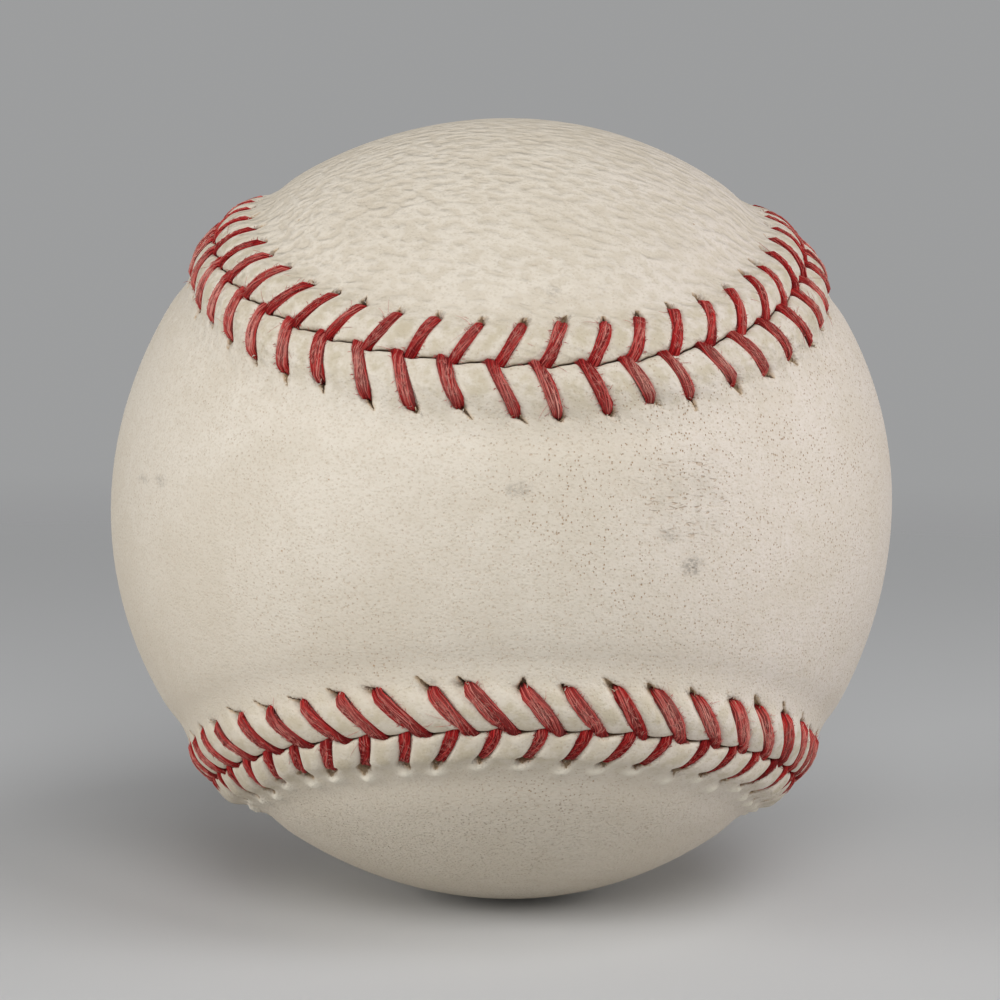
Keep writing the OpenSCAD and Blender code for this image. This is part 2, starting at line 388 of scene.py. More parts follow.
class Lacing:
    """One panel's stitches. Each lies from its dive in the seam to its hole in the leather."""

    # How far past a hole the leather still follows the stitch's lean, and where a sunk stitch starts to sink
    relax = 2 * MM
    sink_start = 0.15

    def __init__(self, side, seam, cover, lacing, rng):
        self.seam = seam
        self.count = lacing.stitches
        self.ring_width = cover.ring_width
        pitch = seam.length / self.count
        index = np.arange(self.count)
        turn = 2 * np.pi * index / self.count
        # upper is 1 in the middle of the upper front seam and -1 in the lower one's; lower goes from 0 to 1
        upper = np.cos(turn)
        lower = (1 - upper) / 2
        sway = np.sin(2 * turn)
        form = {name: start + gain * lower for name, (start, gain) in STITCH_FORMS[side].items()}
        swing = {name: size * upper for name, size in STITCH_SWINGS[side].items()}
        mean_slope, offset = lacing.front_slope, 0
        if side == BACK:
            mean_slope, offset = lacing.back_slope, lacing.pair_offset

        def uneven(name):
            spread = UNEVEN[name]
            return rng.normal(0, spread, self.count).clip(-2 * spread, 2 * spread)

        self.dive = index * pitch + lacing.start + uneven("dive") + (offset + swing["dive"] * MM)
        self.wear = form["wear"] + uneven("wear")
        self.bow = (form["bow"] + swing["bow"]) * MM + uneven("bow")
        slope = mean_slope + swing["slope"] + form["sway"] * sway
        self.reach = lacing.reach + form["reach"] * MM + uneven("reach")
        self.slant = (slope + uneven("slope")) * self.reach
        self.width = lacing.thread_width * form["width"] * (1 + uneven("width"))
        self.bed = cover.bed_depth * (1 + uneven("bed"))
        self.sink = form["sink"] * MM
        self.pillow = cover.pillow_height * form["pillow"] * (1 + uneven("pillow"))
        self.pillow_power = form["pillow_power"]
        self.slit_length = rng.uniform(*SLIT_LENGTHS, self.count) * MM * form["slit_length"]
        self.slit_width = rng.uniform(*SLIT_WIDTHS, self.count) * MM * form["slit_width"]
        self.slit_lean = uneven("slit_lean") + form["slit_lean"]
        self.chance = np.minimum(rng.uniform(0, 1, self.count) + form["chance"], 1)
        self.rim = np.zeros(self.count)
        if side == BACK:
            self.rim = rng.uniform(*RIM_HEIGHTS, self.count) * lower * MM

    def at(self, stitch, share):
        """Run and distance across at a share of a stitch's way to its hole, and from 1 to 2 past it."""
        one = stitch % self.count
        reach, slant = self.reach[one], self.slant[one]
        inner = np.minimum(share, 1)
        across = reach * inner + (self.ring_width - reach) * np.maximum(share - 1, 0)
        past = np.maximum(across - reach, 0)
        run = self.dive[one] + self.seam.length * (stitch // self.count)
        run = run + slant * inner + self.bow[one] * 4 * inner * (1 - inner)
        run = run + slant / reach * self.relax * (1 - np.exp(-past / self.relax))
        return run, across

    def bed_at(self, stitch, share):
        """How deep a stitch presses into the leather at a share of its way."""
        one = stitch % self.count
        return self.bed[one] + self.sink[one] * smooth_step(share, self.sink_start, 1)


class Ball:
    """The ball's seam, its two lacings and the forms that the leather and the thread share."""

    # Waves of the whole cover, and how often they go round it
    wave_count = 7
    wave_numbers = (4, 11)
    # The seam's line drawn aside, the lip's rise to its crest and the dip past the holes
    zigzag_parts = (0.8, 0.3)
    zigzag_fade = 1.5 * MM
    crest_rise = 0.22
    dip_place = 6.2 * MM
    dip_width = 1.4 * MM
    # The leather near a stitch: its rolled edge, the pillow, the bed, and the dimple at the hole
    edge_dip = 0.14 * MM
    edge_dip_reach = 0.45 * MM
    pillow_end = 0.9 * MM
    pillow_full = 0.7 * MM
    bed_end = 0.4 * MM
    bed_share = 0.84
    dimple_depth = 0.12 * MM
    dimple_place = 0.1 * MM
    dimple_width = 0.9 * MM
    # The torn slit past a hole, and the pale rim at its end
    slit_start = (-0.5 * MM, -0.1 * MM)
    slit_end_width = 0.2
    slit_end_share = 0.35
    rim_place = 0.4 * MM
    rim_aside = 0.1 * MM
    rim_width = 0.7 * MM
    rim_reach = 0.48 * MM
    full_rim = 0.2 * MM
    # Shares of the way, past the hole, at which a stitch's lean and its closeness end
    lean_end = 1.3
    closeness_end = 1.9
    # Where the leather's marks lie, among them the dirt and painted shade along the seam, and the lowest
    #     # that it goes
    seam_darkening_reach = 0.075 * MM
    lip_mark_place = 2 * MM
    lip_mark_width = 2.4 * MM
    # The pocket: where a hole's painted shade lies past each stitch
    pocket_share = 0.7
    pocket_place = 0.02 * MM
    pocket_reach = 0.22 * MM
    lowest = -1.1 * MM

    def __init__(self, scene):
        self.cover = scene.ball_cover
        self.lacing = scene.ball_lacing
        rng = np.random.default_rng(self.lacing.seed)
        self.seam = Seam(COVER_RADIUS)
        self.sides = {side: Lacing(side, self.seam, self.cover, self.lacing, rng) for side in (FRONT, BACK)}
        self.wave_axes = unit(rng.normal(size=(self.wave_count, 3)))
        self.wave_axes *= rng.uniform(*self.wave_numbers, (self.wave_count, 1))
        self.wave_starts = rng.uniform(0, 2 * np.pi, self.wave_count)
        front = self.sides[FRONT].dive
        count = self.lacing.stitches
        self.known_runs = np.concatenate([front - self.seam.length, front, front + self.seam.length])
        self.known_places = np.arange(-count, 2 * count)
        self.pair_share = 0.5 * self.lacing.pair_offset * count / self.seam.length

    def waves(self, direction):
        """Slight unevenness of the whole cover."""
        return self.cover.waviness * np.sin(direction @ self.wave_axes.T + self.wave_starts).sum(axis=-1)

    def direction(self, side, run, across):
        """Direction of a point on one panel, with the seam line drawn aside where the stitches cross it."""
        place = np.interp(run % self.seam.length, self.known_runs, self.known_places)
        turn = 2 * np.pi * (place - self.pair_share)
        once, twice = self.zigzag_parts
        aside = self.lacing.zigzag * (once * np.sin(turn) + twice * np.sin(2 * turn))
        return self.seam.beside(run, side * across + aside * np.exp(-np.abs(across) / self.zigzag_fade))

    def swell(self, across):
        """Height of the lip beside the seam, before its edge rolls down."""
        cover = self.cover
        inner = np.clip(cover.lip_crest - across, 0, None) / cover.lip_crest
        outer = np.clip(across - cover.lip_crest, 0, None)
        dip = cover.dip_depth * hump(across - self.dip_place, self.dip_width)
        return cover.lip_height * (1 - self.crest_rise * inner**2) * hump(outer, cover.lip_spread) - dip

    def relief(self, side, stitch, between, share):
        """Run, distance across, height and marks of points between a stitch and the next, for one panel."""
        lacing, cover = self.sides[side], self.cover
        run_a, across_a = lacing.at(stitch, share)
        run_b, across_b = lacing.at(stitch + 1, share)
        run = run_a + (run_b - run_a) * between
        across = across_a + (across_b - across_a) * between
        own = stitch % lacing.count
        near = np.where(between < 0.5, stitch, stitch + 1) % lacing.count
        reach, half = lacing.reach[near], lacing.width[near] / 2
        # past is the distance beyond the nearest hole, and off the distance sideways from its stitch
        past = across - reach
        lean = np.cos(np.arctan(lacing.slant[near] / reach * (share < self.lean_end)))
        off = (run_b - run_a) * (between - (between >= 0.5)) * lean

        height = self.swell(across) - cover.edge_drop * np.exp(-across / cover.edge_round)
        height -= self.edge_dip * np.exp(-across / self.edge_dip_reach)
        puffed = np.sin(np.pi * between) ** lacing.pillow_power[own]
        height += lacing.pillow[own] * puffed * smooth_step(-past, -self.pillow_end, self.pillow_full)
        pressed = np.where(past < 0, 1, plateau(past, self.bed_end))
        height -= lacing.bed_at(near, share) * plateau(off, half * self.bed_share) * pressed
        height -= self.dimple_depth * hump(np.hypot(past - self.dimple_place, off), self.dimple_width)

        length = lacing.slit_length[near]
        taper = np.clip(1 - past / length, 0, 1)
        wide = lacing.slit_width[near] * (self.slit_end_width + (1 - self.slit_end_width) * taper)
        aside = off - lacing.slit_lean[near] * np.maximum(past, 0)
        open_here = smooth_step(past, *self.slit_start) * smooth_step(taper, 0, self.slit_end_share)
        height -= cover.hole_depth * plateau(aside, wide) * open_here
        rim = hump(off + self.rim_aside, self.rim_width)
        rim *= hump(past - length - self.rim_place, self.rim_reach)
        height += lacing.rim[near] * rim

        # closeness is 1 at a stitch and -1 midway to the next
        closeness = np.cos(2 * np.pi * between) * (share < self.closeness_end)
        pocket = plateau(past - self.pocket_place, self.pocket_reach)
        marks = {
            # dirt and painted shade along the seam's edge
            "grime": np.exp(-across / self.seam_darkening_reach),
            "lip": hump(across - self.lip_mark_place, self.lip_mark_width),
            "rim": rim * lacing.rim[near] / self.full_rim,
            "pocket": plateau(off, half * self.pocket_share) * pocket,
            "hole_place": np.stack([aside, past, lacing.slit_width[near]], axis=1) / MM,
            "hole_form": np.stack([length / MM, lacing.chance[near], closeness], axis=1),
        }
        return run, across, np.maximum(height, self.lowest), marks


def new_bmesh(*marks, vectors=()):
    """An empty bmesh whose points carry the named float marks and vector marks."""
    bm = bmesh.new()
    for name in marks:
        bm.verts.layers.float.new(name)
    for name in vectors:
        bm.verts.layers.float_vector.new(name)
    return bm


def add_grid(bm, columns, rows, place):
    """Adds a grid to bm. place(column, row) gives its points and marks from whole numbers."""
    made = bmesh.ops.create_grid(bm, x_segments=columns, y_segments=rows, size=0.5)["verts"]
    flat = np.array([vert.co[:2] for vert in made]) + 0.5
    column = np.rint(flat[:, 0] * columns).astype(int)
    row = np.rint(flat[:, 1] * rows).astype(int)
    points, marks = place(column, row)
    for vert, point in zip(made, points):
        vert.co = point
    for name, values in marks.items():
        layers = bm.verts.layers.float if values.ndim == 1 else bm.verts.layers.float_vector
        layer = layers[name]
        for vert, value in zip(made, values):
            vert[layer] = value
    return made, row


def close_up(bm):
    """Merges the points that meet, turns the faces outwards and shades them smooth."""
    bmesh.ops.remove_doubles(bm, verts=bm.verts, dist=MERGE_DISTANCE)
    bmesh.ops.dissolve_degenerate(bm, edges=bm.edges, dist=MERGE_DISTANCE)
    bmesh.ops.recalc_face_normals(bm, faces=bm.faces)
    for face in bm.faces:
        face.smooth = True


def add_piece(bm, name, material, replaces=()):
    """Makes bm the mesh of a new piece that rides on the ball."""
    mesh = bpy.data.meshes.new(name)
    bm.to_mesh(mesh)
    bm.free()
    mesh.materials.append(material)
    piece = bpy.data.objects.new(name, mesh)
    bpy.context.scene.collection.objects.link(piece)
    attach(piece, BODY)
    if replaces:
        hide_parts(*replaces)
    return piece


def leather_points(direction, face, depth):
    """Points at a share of the depth from the leather's face, at that radius, down to its flesh side."""
    radius = face + (FLESH_RADIUS - face) * depth
    return direction * radius[:, None]


def arc_between(first, second, way):
    """Directions at a share of the way from the first to the second along the shortest arc."""
    angle = np.arccos(np.clip((first * second).sum(axis=1), -1, 1))[:, None]
    blend = first * np.sin((1 - way) * angle) + second * np.sin(way * angle)
    blend = blend / np.maximum(np.sin(angle), 1e-12)
    direction = unit(np.where(angle < 1e-7, first, blend))
    return np.where(way == 0, first, np.where(way == 1, second, direction))


def cover_panel(ball, side):
    """The mesh of one leather panel: a ring along its edge, and columns that join it across the middle."""
    columns = ball.lacing.stitches * COLUMNS_PER_STITCH
    shares = np.array(RING_SHARES + tuple(share for share, depth in FLESH_ROWS), float)
    depths = np.array([0] * len(RING_SHARES) + [depth for share, depth in FLESH_ROWS], float)

    def ring(column, share, depth):
        place = column / COLUMNS_PER_STITCH
        stitch = np.floor(place).astype(int)
        between = place - stitch
        between = between - COLUMN_EASE * np.sin(2 * np.pi * between) / (2 * np.pi)
        run, across, height, marks = ball.relief(side, stitch, between, share)
        direction = ball.direction(side, run, across)
        face = COVER_RADIUS + height + ball.waves(direction)
        # The cut edge and the flesh side, down in the seam gap, are painted dark as dirt and shade
        marks["grime"] = np.maximum(marks["grime"], depth > 0)
        return run, direction, leather_points(direction, face, depth), marks

    run = ring(np.arange(columns), np.full(columns, 2.0), np.zeros(columns))[0] % ball.seam.length
    tip_run = ball.seam.length / 4 if side == FRONT else ball.seam.length / 2
    tip = np.abs(run - tip_run).argmin()

    def ring_place(column, row):
        run, direction, points, marks = ring(column, shares[row], depths[row])
        return points, marks

    def middle(depth, rows):
        def place(column, row):
            share = np.full(len(row), 2.0)
            first = ring(tip + column, share, share * 0)[1]
            second = ring(tip - column, share, share * 0)[1]
            direction = arc_between(first, second, (row / rows)[:, None])
            swell = ball.swell(np.full(len(row), ball.cover.ring_width))
            return leather_points(direction, COVER_RADIUS + swell + ball.waves(direction), depth), {}
        return place

    bm = new_bmesh("grime", "lip", "rim", "pocket", vectors=("hole_place", "hole_form"))
    add_grid(bm, columns, len(shares) - 1, ring_place)
    add_grid(bm, columns // 2, MIDDLE_ROWS, middle(0, MIDDLE_ROWS))
    add_grid(bm, columns // 2, MIDDLE_FLESH_ROWS, middle(1, MIDDLE_FLESH_ROWS))
    close_up(bm)
    return bm


def add_tubes(bm, centre, wide, tall, sides, marks, twist=0.0):
    """Adds closed tubes to bm. centre, wide and tall are (tube, ring, 3) arrays of points and half axes.
    A mark has one value for each tube and ring. fibre is a place in the thread, in millimetres."""
    tubes, rings = centre.shape[:2]
    lengths = np.linalg.norm(np.diff(centre, axis=1), axis=2)
    along = np.concatenate([np.zeros((tubes, 1)), np.cumsum(lengths, axis=1)], axis=1)

    def place(column, row):
        tube, ring = np.divmod(row, rings)
        angle = 2 * np.pi * (column % sides) / sides
        points = centre[tube, ring] + wide[tube, ring] * np.cos(angle)[:, None]
        points = points + tall[tube, ring] * np.sin(angle)[:, None]
        turned = angle + twist * along[tube, ring]
        across = np.linalg.norm(wide[tube, ring], axis=1) + FIBRE_RIM
        fibre = np.stack([across * np.cos(turned), across * np.sin(turned), along[tube, ring]], axis=1) / MM
        fibre[:, :2] += np.stack([tube % FIBRES_PER_ROW, tube // FIBRES_PER_ROW], axis=1) * FIBRE_SPACING
        shown = {name: values[tube, ring] for name, values in marks.items()}
        return points, {"fibre": fibre, **shown}

    made, row = add_grid(bm, sides, tubes * rings - 1, place)
    owner = dict(zip(made, row // rings))
    faces = dict.fromkeys(face for vert in made for face in vert.link_faces)
    bridges = [face for face in faces if len({owner[vert] for vert in face.verts}) > 1]
    bmesh.ops.delete(bm, geom=bridges, context="FACES")


class StitchCourse:
    """Centre lines of one panel's visible stitches, with the ways across and off each, as (stitch, ring, 3)
    arrays."""

    plies = 3
    # How deep the ends go, and the shares of the way over which the thread rises, dives, and turns flat
    seam_plunge = 1.1 * MM
    hole_plunge = 1.2 * MM
    rising = (-0.07, 0.04)
    diving = (0.92, 1.05)
    turning = (0.05, 0.34)
    side_step = 0.1 * MM
    # How slanting it may lie, how much it narrows, and how much less worn it is in the seam and at the hole
    least_squareness = 0.6
    hole_narrowing = 0.14
    seam_narrowing = 0.12
    seam_wear = 0.25
    hole_fading = 0.7
    # Sizes and places of the plies in the thread, and of the strands on a ply
    ply_aside = 0.5
    ply_rise = 0.35
    ply_width = 0.56
    ply_thickness = 0.72
    strand_place = 0.93

    def __init__(self, ball, side, rng):
        lacing = ball.sides[side]
        thick = ball.lacing.thread_thickness
        share = np.array(STITCH_SHARES)[None, :] + np.zeros((lacing.count, 1))
        stitch = np.arange(lacing.count)[:, None] + np.zeros(share.shape, int)
        run, across = lacing.at(stitch, share)
        away = ball.direction(side, run, across)
        height = ball.swell(np.maximum(across, 0)) + ball.waves(away)
        height += thick / 2 - lacing.bed_at(stitch, share)
        height -= self.seam_plunge * smooth_step(-share, *self.rising)
        height -= self.hole_plunge * smooth_step(share, *self.diving)
        self.share = share
        self.centre = away * (COVER_RADIUS + height)[..., None]
        # The thread's width lies along the seam where it dives, and turns square to its own way further on
        square = unit(np.cross(away, np.gradient(away, axis=1)))
        along = unit(ball.direction(side, run + self.side_step, across) - away)
        along *= np.sign((along * square).sum(axis=2))[..., None]
        turned = smooth_step(share, *self.turning)[..., None]
        self.across = unit(along * (1 - turned) + square * turned)
        stretch = 1 / np.clip((self.across * square).sum(axis=2), self.least_squareness, 1)
        self.off = unit(np.cross(np.gradient(self.centre, axis=1), self.across))
        self.off *= np.sign((self.off * away).sum(axis=2).mean(axis=1))[:, None, None]
        narrowed = 1 - self.hole_narrowing * smooth_step(share, 0.8, 1)
        narrowed -= self.seam_narrowing * smooth_step(-share, -0.3, 0)
        self.half_width = lacing.width[:, None] / 2 * stretch * narrowed
        self.half_thick = thick / 2 * np.ones(share.shape)
        middle = self.seam_wear + (1 - self.seam_wear) * smooth_step(share, 0.02, 0.4)
        faded = 1 - self.hole_fading * smooth_step(share, 0.82, 1)
        self.worn = lacing.wear[:, None] * middle * faded
        twist = share * ball.lacing.reach / ball.lacing.twist_pitch * 2 * np.pi
        self.angle = rng.uniform(0, 2 * np.pi, (lacing.count, 1)) + twist

    def moved(self, centre, aside, rise):
        """The centre line moved across and off the stitch."""
        return centre + self.across * aside[..., None] + self.off * rise[..., None]

    def ply(self, number):
        """Centre line and half axes of one ply."""
        angle = self.angle + number * 2 * np.pi / self.plies
        out = self.half_width * self.ply_aside * np.cos(angle)
        up = self.half_thick * self.ply_rise * np.sin(angle)
        centre = self.moved(self.centre, out, up)
        return centre, self.half_width * self.ply_width, self.half_thick * self.ply_thickness

    def tube(self, centre, wide, tall):
        """Centre line and half axes of a tube, closed at both ends."""
        closed = np.ones(self.share.shape[1])
        closed[[0, -1]] = 0
        return centre, self.across * (wide * closed)[..., None], self.off * (tall * closed)[..., None]

    def strand(self, number, angle, radius):
        """A fine strand that lies at angle round one ply."""
        centre, wide, tall = self.ply(number)
        out = wide * self.strand_place * np.cos(angle)
        up = tall * self.strand_place * np.sin(angle)
        return self.tube(self.moved(centre, out, up), radius, radius)


class Board:
    """Adds linked shader nodes to one node tree."""

    def __init__(self, tree):
        self.tree = tree

    def node(self, kind, sockets=None, **settings):
        """A node with its settings and inputs. An input takes a value or another node's output."""
        node = self.tree.nodes.new("ShaderNode" + kind)
        for name, value in settings.items():
            setattr(node, name, value)
        for key, value in (sockets or {}).items():
            if isinstance(value, bpy.types.NodeSocket):
                self.tree.links.new(value, node.inputs[key])
            else:
                node.inputs[key].default_value = value
        return node

    def math(self, operation, first, second=0.0):
        return self.node("Math", {0: first, 1: second}, operation=operation).outputs[0]

    def chain(self, operation, values):
        """The values joined one after another by an operation."""
        result = values[0]
        for value in values[1:]:
            result = self.math(operation, result, value)
        return result

    def plus(self, *values):
        return self.chain("ADD", values)

    def minus(self, *values):
        return self.chain("SUBTRACT", values)

    def product(self, *factors):
        return self.chain("MULTIPLY", factors)

    def larger(self, *values):
        return self.chain("MAXIMUM", values)

    def absolute(self, value):
        return self.math("ABSOLUTE", value)

    def scaled(self, vector, scale):
        """The vector with each part times that part of scale."""
        return self.node("VectorMath", {0: vector, 1: scale}, operation="MULTIPLY").outputs[0]

    def length(self, vector):
        return self.node("VectorMath", {0: vector}, operation="LENGTH").outputs["Value"]

    def position(self):
        """Object position in millimetres."""
        return self.scaled(self.node("TexCoord").outputs["Object"], (1000, 1000, 1000))

    def noise(self, vector, scale, detail=2.0, roughness=0.5, distortion=0.0):
        sockets = {"Vector": vector, "Scale": scale, "Detail": detail, "Roughness": roughness,
                   "Distortion": distortion}
        return self.node("TexNoise", sockets).outputs[0]

    def cells(self, vector, scale, randomness=1.0, feature="F1"):
        sockets = {"Vector": vector, "Scale": scale, "Randomness": randomness}
        return self.node("TexVoronoi", sockets, feature=feature).outputs

    def span(self, value, low, high, to_low=0.0, to_high=1.0):
        """value from low to high, smoothly mapped to to_low to to_high."""
        sockets = {"Value": value, "From Min": low, "From Max": high, "To Min": to_low, "To Max": to_high}
        return self.node("MapRange", sockets, interpolation_type="SMOOTHSTEP").outputs[0]

    def band(self, value, rise, fall):
        """1 between rise and fall, with a smooth step up over rise and down over fall."""
        return self.product(self.span(value, *rise), self.span(value, *fall, 1, 0))

    def mix(self, share, first, second):
        """The colour share of the way from first to second."""
        pair = [c if isinstance(c, bpy.types.NodeSocket) else (*c, 1) for c in (first, second)]
        return self.node("Mix", {0: share, 6: pair[0], 7: pair[1]}, data_type="RGBA").outputs[2]

    def coats(self, colour, *coats):
        """The colour under coats, each a share and the colour that it brings on."""
        for share, shade in coats:
            colour = self.mix(share, colour, shade)
        return colour

    def mark(self, name, output="Fac"):
        return self.node("Attribute", attribute_name=name).outputs[output]

    def warped(self, vector, scale, reach):
        """The vector, moved about by noise of that scale and reach."""
        noise = self.node("TexNoise", {"Vector": vector, "Scale": scale, "Detail": 3.0}).outputs["Color"]
        away = self.node("VectorMath", {0: noise, 1: (0.5, 0.5, 0.5)}, operation="SUBTRACT").outputs[0]
        return self.node("VectorMath", {0: vector, 1: self.scaled(away, (reach, reach, reach))}).outputs[0]

    def parts(self, vector):
        """The three parts of a vector."""
        return self.node("SeparateXYZ", {0: vector}).outputs

    def group(self, tree, **sockets):
        """The outputs of a placed node group; a socket's spaces are written as underscores."""
        node = self.tree.nodes.new("ShaderNodeGroup")
        node.node_tree = tree
        for key, value in sockets.items():
            socket = node.inputs[key.replace("_", " ")]
            if isinstance(value, bpy.types.NodeSocket):
                self.tree.links.new(value, socket)
            else:
                socket.default_value = value
        return node.outputs

    def surface(self, colour, roughness, height, depth, **fixed):
        """Ends the material in a Principled BSDF with a bump of that height and depth."""
        bump = self.node("Bump", {"Height": height, "Strength": 1.0, "Distance": depth})
        sockets = {"Base Color": colour, "Roughness": roughness, "Normal": bump.outputs[0]}
        sockets.update({key.replace("_", " "): value for key, value in fixed.items()})
        shader = self.node("BsdfPrincipled", sockets)
        self.node("OutputMaterial", {"Surface": shader.outputs[0]})


def new_material(name):
    """An empty node material and the board to fill it."""
    material = bpy.data.materials.new(name)
    material.use_nodes = True
    material.node_tree.nodes.clear()
    return material, Board(material.node_tree)


def new_effect(name, inputs, outputs):
    """A node group of a Position and float inputs, and float outputs. Returns its board, inputs and end."""
    tree = bpy.data.node_groups.new(name, "ShaderNodeTree")
    tree.interface.new_socket("Position", in_out="INPUT", socket_type="NodeSocketVector")
    for socket_name, default in inputs.items():
        socket = tree.interface.new_socket(socket_name, in_out="INPUT", socket_type="NodeSocketFloat")
        socket.default_value = default
    for socket_name in outputs:
        tree.interface.new_socket(socket_name, in_out="OUTPUT", socket_type="NodeSocketFloat")
    start = tree.nodes.new("NodeGroupInput")
    end = tree.nodes.new("NodeGroupOutput")
    return Board(tree), start.outputs, end


def end_effect(board, end, **outputs):
    """Links a group's outputs and returns the group."""
    for key, value in outputs.items():
        board.tree.links.new(value, end.inputs[key])
    return board.tree


def grain_effect(name):
    """Hide grain of pebbles and pits, soft sideways ripples, and short creases where it was folded."""
    inputs = {"Grain": 4.5, "Wrinkle": 1.35, "Ripple": 0.5, "Folds": 0.5}
    board, given, end = new_effect(name, inputs, ("Height", "Grain", "Wrinkles", "Creases"))
    position = given["Position"]
    fine = board.noise(position, given["Grain"], 3, 0.7)
    pits = board.cells(board.scaled(position, (0.8, 1, 1.1)), board.product(given["Grain"], 0.7), 0.9)
    pebbles = board.span(pits["Distance"], 0.05, 0.55)
    grain = board.plus(board.product(fine, 0.65), board.product(pebbles, 0.35))
    slanted = board.node("Mapping", {"Vector": position, "Rotation": (0, -0.3, 0)}).outputs[0]
    waves = board.noise(board.scaled(slanted, (0.5, 0.9, 1.05)), given["Wrinkle"], 0.7, 0.35, 0.25)
    folds = board.noise(board.scaled(position, (0.75, 1.5, 2.4)), 1.5, 1, 0.5, 0.6)
    broken = board.span(board.noise(position, 0.9, 2), 0.42, 0.6)
    creases = board.product(board.span(folds, 0.3, 0.44, 1, 0), broken, given["Folds"])
    height = board.plus(board.product(grain, 0.75), board.product(waves, given["Ripple"]),
                        board.product(folds, given["Folds"], 0.4))
    height = board.minus(height, board.product(creases, 0.8))
    return end_effect(board, end, Height=height, Grain=grain, Wrinkles=waves, Creases=creases)


def speck_effect(name):
    """Round specks in scattered cells: pores, hair holes, cork grains and dust."""
    board, given, end = new_effect(name, {"Cells per mm": 3.0, "Size": 0.2, "Share": 0.5}, ("Mask",))
    cells = board.cells(given["Position"], given["Cells per mm"], 0.85)
    outside = board.span(board.math("DIVIDE", cells["Distance"], given["Size"]), 0.55, 1.0)
    chance = board.node("SeparateColor", {0: cells["Color"]}).outputs[0]
    chosen = board.math("LESS_THAN", chance, given["Share"])
    return end_effect(board, end, Mask=board.product(board.minus(1.0, outside), chosen))


def fibre_effect(name):
    """Fine streaks along a thread."""
    board, given, end = new_effect(name, {"Fineness": 9.0, "Length": 0.07}, ("Height", "Tone"))
    drawn = board.node("CombineXYZ", {0: 1.0, 1: 1.0, 2: given["Length"]}).outputs[0]
    streaks = board.scaled(given["Position"], drawn)
    fine = board.noise(streaks, given["Fineness"], 3, 0.65, 0.4)
    broad = board.noise(streaks, board.product(given["Fineness"], 0.35), 2, 0.5, 0.6)
    height = board.plus(board.product(fine, 0.65), board.product(broad, 0.5))
    return end_effect(board, end, Height=height, Tone=fine)


def winding_effect(name):
    """Yarn wound over a round core in crossing layers."""
    board, given, end = new_effect(name, {"Yarn": 0.9}, ("Height", "Tone"))
    layers = []
    for step, turn in enumerate(((0.3, 0.2, 0.1), (1.1, 0.7, 2.0), (2.2, 1.5, 0.9), (0.8, 2.6, 1.7))):
        turned = board.node("Mapping", {"Vector": given["Position"], "Rotation": turn}).outputs[0]
        sockets = {"Vector": turned, "Scale": board.math("DIVIDE", 0.314, given["Yarn"]), "Distortion": 1.2,
                   "Detail": 1.0, "Detail Scale": 0.4}
        bands = board.node("TexWave", sockets, wave_profile="SIN").outputs[1]
        here = board.span(board.noise(turned, 0.07, 1), 0.46, 0.56)
        layers.append(board.product(board.plus(bands, 0.25 * step), here))
    height = board.larger(*layers)
    fuzz = board.noise(given["Position"], 6.0, 3, 0.7)
    tone = board.plus(board.product(height, 0.7), board.product(fuzz, 0.3))
    return end_effect(board, end, Height=height, Tone=tone)


# The node groups that the materials share: their names, and what makes each
EFFECTS = {
    "grain": ("Hide Grain", grain_effect),
    "specks": ("Specks", speck_effect),
    "fibres": ("Thread Fibres", fibre_effect),
    "winding": ("Wound Yarn", winding_effect),
}


def shared_effects():
    """The shared node groups, each made when it is first asked for."""
    return {key: bpy.data.node_groups.get(name) or make(name) for key, (name, make) in EFFECTS.items()}


def patch_mask(board, position, place, size):
    """1 in the middle of an oval patch of the leather, falling softly to 0 at its rim."""
    centre = tuple(share * COVER_RADIUS / MM for share in place)
    scale = tuple(MM / (share * COVER_RADIUS) for share in size)
    away = board.node("VectorMath", {0: position, 1: centre}, operation="SUBTRACT").outputs[0]
    return board.span(board.length(board.scaled(away, scale)), 0.25, 1.2, 1, 0)


def hole_masks(board, form, ragged):
    """Masks past each stitch: the open slit, its raw edge, the lifted film and the pulled lines. Places are
    in millimetres, aside from the slit's line and past the hole."""
    aside, past, width = board.parts(board.mark("hole_place", "Vector"))
    length, chance, closeness = form
    here = board.span(closeness, 0.1, 0.5)
    torn = board.plus(aside, board.product(board.minus(ragged, 0.5), 0.35))
    taper = board.node("Clamp", {"Value": board.minus(1.0, board.math("DIVIDE", past, length))}).outputs[0]
    edge = board.minus(board.absolute(torn), board.product(width, taper))
    opened = board.product(here, board.span(past, -0.45, -0.1), board.span(taper, 0.0, 0.12))
    slit = board.product(board.span(edge, -0.06, 0.05, 1, 0), opened)
    raw = board.product(board.span(edge, 0.0, 0.26, 1, 0), opened)

    lifted = board.absolute(board.minus(aside, board.span(chance, 0, 1, -0.5, 0.5)))
    film = board.product(board.span(lifted, 0.15, 0.32, 1, 0), board.band(past, (0.0, 0.2), (0.5, 0.9)),
                         board.span(ragged, 0.44, 0.54), here)

    angle = board.math("ARCTAN2", board.plus(past, 0.35), aside)
    lines = board.math("SINE", board.plus(board.product(angle, 13.0), board.product(ragged, 9.0)))
    far = board.math("POWER", board.plus(board.product(aside, aside), board.product(past, past)), 0.5)
    pulled = board.product(lines, board.band(far, (0.4, 0.7), (0.9, 1.6)), board.span(chance, 0.3, 0.7),
                           here)
    return slit, raw, film, pulled


